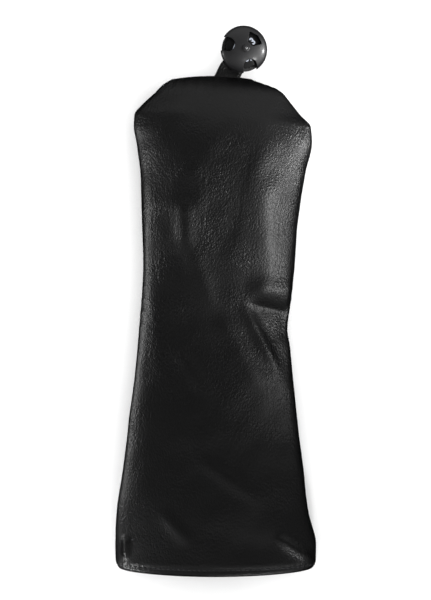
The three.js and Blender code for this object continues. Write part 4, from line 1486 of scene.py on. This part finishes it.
class COVER_OT_crown_seam(Piece, bpy.types.Operator):
    """Adds the crown's bound seam allowance, on each side of the strap's sewn-in tail"""

    bl_idname = "cover.crown_seam"
    bl_label = "Crown Seam"

    def make(self, context, finish):
        for name in ("left", "right"):
            low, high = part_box(f"crown_binding_{name}")
            middle_y = (low.y + high.y) / 2 - TAPE_SHIFT * MM
            wide, thick = high.y - low.y, high.z - low.z
            section = [boxy(turn) for turn in TAPE_TURNS]
            rings = []
            for x in np.linspace(low.x + 1.5 * MM, high.x - 1.5 * MM, 60):
                y = middle_y + 0.15 * MM * math.sin(x / MM * 0.9)
                rings.append([(x, y + a * wide / 2, seam_z + b * thick / 2) for a, b in section])
            tape = closed_sweep(f"crown_tape_{name}", np.array(rings), finish["webbing"])
            declare(tape, "cover", f"crown_binding_{name}", "webbing")
        low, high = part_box("crown_seam_thread")
        xs = np.linspace(low.x, high.x, 120)
        line = np.stack([xs, np.full(120, low.y), np.full(120, (low.z + high.z) / 2)], axis=1)
        facing = np.tile((0.0, 0.0, 1.0), (120, 1))
        thread = finish["thread"]
        row = stitch_row("crown_seam_stitches", line, facing, 3.0, 2.5, 0.22, thread, lift=0.1)
        declare(row, "cover", "crown_seam_thread", "thread")


class COVER_OT_elastic(Piece, bpy.types.Operator):
    """Adds the elastic inside the back of the neck, and the stitch rows that hold it"""

    bl_idname = "cover.elastic"
    bl_label = "Neck Elastic"

    def make(self, context, finish):
        leather, _, _, _ = sizes_mm()
        band = inner_layer(
            "neck_band",
            "back",
            *ELASTIC_SPAN,
            lambda d: leather + CLEARANCE + 0.12 + 0.12 * np.sin(2 * math.pi * d / 1.8),
            1.0,
            finish["webbing"],
            84,
            110,
        )
        declare(band, "cover", "neck_elastic", "webbing")
        for name, d in (("lower", ELASTIC_SPAN[0] + 4), ("upper", ELASTIC_SPAN[1] - 4)):
            line, facing = row_on_leather("back", d, 0.03, 0.97)
            thread = finish["thread"]
            row = stitch_row(f"elastic_row_{name}", line, facing, 3.3, 2.6, 0.28, thread, lift=0.2)
            declare(row, "cover", f"elastic_stitch_{name}", "thread")


class COVER_OT_hem_stitches(Piece, bpy.types.Operator):
    """Adds the topstitching round the hem, stitch by stitch"""

    bl_idname = "cover.hem_stitches"
    bl_label = "Hem Stitches"

    def make(self, context, finish):
        s = context.scene.sleeve_sizes
        front, front_out = row_on_leather("front", HEM_ROW, 0.0, 1.0)
        back, back_out = row_on_leather("back", HEM_ROW, 1.0, 0.0)
        line = np.concatenate([front, back[1:-1]])
        facing = np.concatenate([front_out, back_out[1:-1]])
        row = stitch_row(
            "hem_stitches",
            line,
            facing,
            s.stitch_pitch / MM,
            s.stitch_pitch / MM * 0.8,
            s.thread / MM / 2,
            finish["thread"],
            closed=True,
            lift=0.75,
        )
        declare(row, "cover", "hem_topstitch", "thread")


class COVER_OT_label(Piece, bpy.types.Operator):
    """Adds the blank satin label on the back lining"""

    bl_idname = "cover.label"
    bl_label = "Blank Label"

    def make(self, context, finish):
        low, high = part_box("blank_label")
        rows, columns = 40, 24
        y = np.linspace(low.y, high.y, rows)[:, None] + np.zeros((1, columns))
        x = np.linspace(low.x, high.x, columns)[None, :] + np.zeros((rows, 1))
        share = (y - low.y) / (high.y - low.y)
        curl = (1 - smooth(share, 0.0, 0.55)) ** 2 * 2.6 * MM
        ripple = 0.25 * MM * np.sin((x - low.x) / MM * 0.5 + share * 3) * (1 - share)
        z = high.z + 0.5 * MM + curl + ripple
        top = np.stack([x, y, z], axis=-1)
        under = top - np.array([0, 0, 0.22 * MM])
        label = strip_mesh("satin_label", top, under, finish["satin"])
        declare(label, "cover", "blank_label", "satin")


class COVER_OT_strap(Piece, bpy.types.Operator):
    """Adds the two-ply leather strap and the stitches that join its plies"""

    bl_idname = "cover.strap"
    bl_label = "Tag Strap"

    def make(self, context, finish):
        s = context.scene.tag_sizes
        root = Vector(joints["strap_flex"]["pos_m"])
        pin = joints["tag_swivel"]
        axis = Vector(pin["axis"]).normalized()
        end = Vector(pin["pos_m"]) + axis * STRAP_MIDDLE * MM
        run = end - root
        reach_to_pin = run.length / MM
        along = run.normalized()

        def half_width(at):
            wide = s.strap_width / MM / 2 - 0.1
            narrow = wide + (STRAP_END_RADIUS - wide) * smooth(at, 0, reach_to_pin)
            past = np.maximum(at - reach_to_pin, 0)
            return np.minimum(narrow, np.sqrt(np.maximum(STRAP_END_RADIUS**2 - past**2, 0)))

        def spare_left(at):
            return 2.6 * (1 - float(smooth(at, 2, reach_to_pin - 4)))

        def frame_at(at):
            share = float(smooth(at, 0, 6))
            normal = (Vector((0, 0, 1)).lerp(axis, share)).normalized()
            flat_along = Vector((along.x, along.y, 0)).normalized() if at < 0 else along
            side = flat_along.cross(normal).normalized()
            sag = -0.35 * math.sin(math.pi * min(max(at / reach_to_pin, 0), 1)) * MM
            centre = root + flat_along * at * MM + Vector((0, 0, 1)) * sag
            return centre, side, normal

        def strap_point(across, at, height):
            centre, side, normal = frame_at(at)
            return centre + side * across * MM + normal * height * MM

        thick, edge = STRAP_HALF, 0.45
        section = []
        for sign in (1, -1):
            for share in np.linspace(-sign, sign, 17):
                section.append((float(share), sign * thick))
            section.append((sign * 1.0, sign * 0.12))
            section.append((sign * 1.0, -sign * 0.12))
        rings = []
        straight = np.linspace(-STRAP_TAIL, reach_to_pin, 60)
        rounding = reach_to_pin + STRAP_END_RADIUS * np.sin(np.linspace(0.06, 1.53, 22))
        for at in np.concatenate([straight, rounding]):
            half = float(half_width(at))
            ring = []
            for share, height in section:
                tuck = edge * max(abs(share) - 0.93, 0) / 0.07 if abs(height) > 0.5 else 0.0
                groove = 0.28 if abs(height) < 0.5 else 0.0
                wide = half + (spare_left(at) if share < 0 else 0)
                across = share * (wide - groove * min(1, half))
                ring.append(strap_point(across, at, math.copysign(abs(height) - tuck * 0.6, height)))
            rings.append([tuple(p) for p in ring])
        strap = closed_sweep("leather_strap", np.array(rings), finish["strap_leather"])
        turns = np.arange(48) * math.pi / 24
        hole = cutter("hole", [(PIN_HOLE * math.cos(a), PIN_HOLE * math.sin(a)) for a in turns], -6, 1)
        hole.data.transform(tag_place())
        cut = strap.modifiers.new("hole", "BOOLEAN")
        cut.object, cut.operation, cut.solver = hole, "DIFFERENCE", "EXACT"
        apply_modifiers(strap)
        bpy.data.objects.remove(hole)
        face_out(strap)
        smooth_by_angle(strap, 50)
        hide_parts("tag_strap", "strap_tail")

        inset, route = 2.0, []
        for at in np.linspace(1.4, reach_to_pin, 30):
            route.append((-(float(half_width(at)) + spare_left(at) - inset), at))
        for turn in np.linspace(0.1, math.pi - 0.1, 24):
            radius = STRAP_END_RADIUS - inset
            route.append((-radius * math.cos(turn), reach_to_pin + radius * math.sin(turn)))
        for at in np.linspace(reach_to_pin, 1.4, 30):
            route.append((float(half_width(at)) - inset, at))
        line = np.array([strap_point(a, at, STRAP_HALF) for a, at in route])
        facing = np.array([frame_at(at)[2] for _, at in route])
        row = stitch_row("strap_stitches", line, facing, 2.6, 2.1, 0.24, finish["thread"], lift=0.25)
        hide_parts("strap_stitching")
        for piece in (strap, row):
            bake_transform(piece)


class COVER_OT_tag_body(Piece, bpy.types.Operator):
    """Adds the tag's base and its domed cover"""

    bl_idname = "cover.tag_body"
    bl_label = "Tag Body"

    def make(self, context, finish):
        radius = context.scene.tag_sizes.radius / MM - BASE_INSET
        profile = [
            (BORE, 0),
            (radius - 0.7, 0),
            (radius, 0.6),
            (radius, BASE_TOP),
            (2 * BORE, BASE_TOP),
            (2 * BORE, WHEEL_FOOT - CLEARANCE),
            (BORE, WHEEL_FOOT - CLEARANCE),
        ]
        base = turned("tag_base_disc", rounded(profile, 0.3), finish["gloss_plastic"], tag_place(), 160)
        smooth_by_angle(base)
        dome = tag_dome(finish["gloss_plastic"])
        for piece, node in ((base, "tag_base"), (dome, "tag_dome")):
            declare(piece, "tag", node, "gloss_black")


class COVER_OT_tag_wheel(Piece, bpy.types.Operator):
    """Adds the number wheel with its knurled rim and numerals"""

    bl_idname = "cover.tag_wheel"
    bl_label = "Number Wheel"

    def make(self, context, finish):
        knurls = context.scene.tag_sizes.knurls
        profile = [
            (BORE, WHEEL_FOOT),
            (WHEEL_RADIUS, WHEEL_FOOT),
            (WHEEL_RADIUS, WHEEL_RIM_TOP),
            (WHEEL_RADIUS - 1, WHEEL_RIM_TOP),
            (WHEEL_FLAT, WHEEL_TOP),
            (BORE, WHEEL_TOP),
        ]

        def knurled(r, z, turn):
            bite = 0.3 * (1 - math.cos(knurls * turn)) / 2
            return r - bite * 2 * max(r - WHEEL_RADIUS + 0.5, 0) * 0.9 / 0.5

        # The wheel gets the darkened copy of the tag's plastic, painted shade for the recess under the
        # dome.
        plastic, segments = finish["wheel_plastic"], 8 * knurls
        wheel = turned(
            "knurled_wheel", rounded(profile, 0.22), plastic, tag_place(), segments, knurled
        )
        smooth_by_angle(wheel, 40)
        declare(wheel, "wheel", "number_wheel", "wheel_black")
        for step, text in enumerate("345712"):
            piece = numeral(text, -step * math.radians(60), finish["numeral_paint"])
            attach(piece, "wheel")


class COVER_OT_tag_hardware(Piece, bpy.types.Operator):
    """Adds the pin, the eyelet and the washers"""

    bl_idname = "cover.tag_hardware"
    bl_label = "Pin and Washers"

    def make(self, context, finish):
        radius = context.scene.tag_sizes.radius / MM
        place = tag_place()
        head = float(dome_height(BORE, 0, radius)) + CLEARANCE
        flange_top = -CLEARANCE
        strap_top = flange_top - 0.6 - CLEARANCE
        strap_bottom = strap_top - 2 * STRAP_HALF
        eyelet_foot = strap_bottom - CLEARANCE - 0.6
        washer_top = eyelet_foot - CLEARANCE
        clench_top = washer_top - 0.5 - CLEARANCE
        wall = BORE + 0.7
        pin = [
            (0, clench_top - 1),
            (2.6, clench_top - 1),
            (3.2, clench_top - 0.55),
            (3.2, clench_top),
            (1.6, clench_top),
            (1.6, head),
            (2.7, head),
            (2.6, head + 0.45),
            (2.0, head + 0.7),
            (PIN_TIP + 0.1, head + 0.8),
            (PIN_TIP, head + 0.72),
            (0.6 * PIN_TIP, head + 1.0),
            (0, head + 1.1),
        ]
        eyelet = [
            (BORE, eyelet_foot),
            (wall + 1.8, eyelet_foot),
            (wall + 1.8, eyelet_foot + 0.6),
            (wall, eyelet_foot + 0.6),
            (wall, flange_top - 0.6),
            (wall + 1.8, flange_top - 0.6),
            (wall + 1.8, flange_top),
            (BORE, flange_top),
        ]
        washer_foot = washer_top - 0.5
        washer = [(BORE, washer_foot), (4.2, washer_foot), (4.2, washer_top), (BORE, washer_top)]
        spring_low, spring_high = BASE_TOP + 0.3, BASE_TOP + 0.8
        spring = [(4.1, spring_low), (6.1, spring_low), (6.1, spring_high), (4.1, spring_high)]
        parts = [
            ("pin_body", pin, "tag_pin", "gloss_plastic", "gloss_black", "tag"),
            ("lined_eyelet", eyelet, "strap_eyelet", "nickel", "nickel", "strap"),
            ("clench_washer", washer, "pin_washer", "nickel", "nickel", "tag"),
            ("wave_washer", spring, "spring_washer", "nickel", "nickel", "tag"),
        ]
        for name, profile, node, material, slot, body in parts:
            piece = turned(name, rounded(profile, 0.15), finish[material], place, 72)
            smooth_by_angle(piece)
            if name == "pin_body":
                brighten_tip(piece, place, head, finish["nickel"])
            declare(piece, body, node, slot)


SENSOR = 36
VIEW_CENTRE = (-0.0006, 0.0002)


class COVER_OT_stage(Piece, bpy.types.Operator):
    """Adds the pale floor, the softboxes and the camera"""

    bl_idname = "cover.stage"
    bl_label = "Stage"

    def make(self, context, finish):
        s = context.scene.stage_settings
        floor = add_mesh(
            "floor",
            [(-4, -4, -0.0006), (4, -4, -0.0006), (4, 4, -0.0006), (-4, 4, -0.0006)],
            [[0, 1, 2, 3]],
            [floor_finish("floor")],
        )
        floor.visible_glossy = False
        softboxes = [
            ("key_softbox", (0.66, -0.1, 0.62), (0.05, 0.08, 0.02), 0.12, 0.16, 22, 0.55 * s.key),
            ("high_softbox", (0.36, -0.2, 0.85), (0.015, 0.06, 0.02), 0.2, 0.2, 19, 0.068 * s.key),
            ("hem_right", (0.12, -0.8, 0.35), (0.058, -0.185, 0.02), 0.06, 0.06, 11, 0.07 * s.key),
            ("hem_left", (-0.55, -0.62, 0.3), (-0.068, -0.183, 0.02), 0.06, 0.06, 9, 0.07 * s.key),
            ("right_strip", (0.9, 0.2, 0.24), (0.035, 0.165, 0.03), 0.12, 0.2, 15, 0.42 * s.strips),
            ("left_strip", (-0.9, 0.0, 0.16), (-0.05, 0.0, 0.02), 0.1, 0.3, 50, 1.0 * s.strips),
        ]
        for name, place, target, wide, high, spread, power in softboxes:
            light = bpy.data.lights.new(name, "AREA")
            light.shape, light.size, light.size_y = "RECTANGLE", wide, high
            light.spread = math.radians(spread)
            light.energy = power
            lamp = bpy.data.objects.new(name, light)
            context.scene.collection.objects.link(lamp)
            lamp.location = place
            aim = Vector(target) - Vector(place)
            lamp.rotation_euler = aim.to_track_quat("-Z", "Y").to_euler()
        context.scene.world = studio_light(s.sweep, s.overhead)
        camera = bpy.data.cameras.new("camera")
        camera.sensor_fit = "VERTICAL"
        camera.sensor_height = SENSOR
        above = s.camera_height - seam_z
        camera.lens = SENSOR * above / s.view_height
        view = bpy.data.objects.new("camera", camera)
        context.scene.collection.objects.link(view)
        view.location = (*VIEW_CENTRE, s.camera_height)
        context.scene.camera = view
        context.scene.view_settings.view_transform = "Standard"


# ---------------------------------------------------------------- panel and registration


operators = [
    COVER_OT_slack,
    COVER_OT_leather,
    COVER_OT_padding,
    COVER_OT_lining,
    COVER_OT_seams,
    COVER_OT_crown_seam,
    COVER_OT_elastic,
    COVER_OT_hem_stitches,
    COVER_OT_label,
    COVER_OT_strap,
    COVER_OT_tag_body,
    COVER_OT_tag_wheel,
    COVER_OT_tag_hardware,
    COVER_OT_stage,
]
groups = {
    "sleeve_sizes": SleeveSizes,
    "finish_settings": FinishSettings,
    "tag_sizes": TagSizes,
    "stage_settings": StageSettings,
}


class COVER_PT_panel(bpy.types.Panel):
    """Lists the cover's sizes and pieces"""

    bl_label = "Head Cover"
    bl_idname = "COVER_PT_panel"
    bl_space_type = "VIEW_3D"
    bl_region_type = "UI"
    bl_category = "Head Cover"

    def draw(self, context):
        for name in groups:
            box = self.layout.box()
            settings = getattr(context.scene, name)
            for key in settings.__annotations__:
                box.prop(settings, key)
        for operator in operators:
            self.layout.operator(operator.bl_idname)


def register():
    for group in groups.values():
        bpy.utils.register_class(group)
    for name, group in groups.items():
        setattr(bpy.types.Scene, name, PointerProperty(type=group))
    for kind in (*operators, COVER_PT_panel):
        bpy.utils.register_class(kind)


def unregister():
    for kind in reversed((*operators, COVER_PT_panel)):
        bpy.utils.unregister_class(kind)
    for name in groups:
        delattr(bpy.types.Scene, name)
    for group in reversed(groups.values()):
        bpy.utils.unregister_class(group)


def main():
    register()
    for operator in operators:
        group, name = operator.bl_idname.split(".")
        getattr(getattr(bpy.ops, group), name)()


if __name__ == "__main__":
    main()
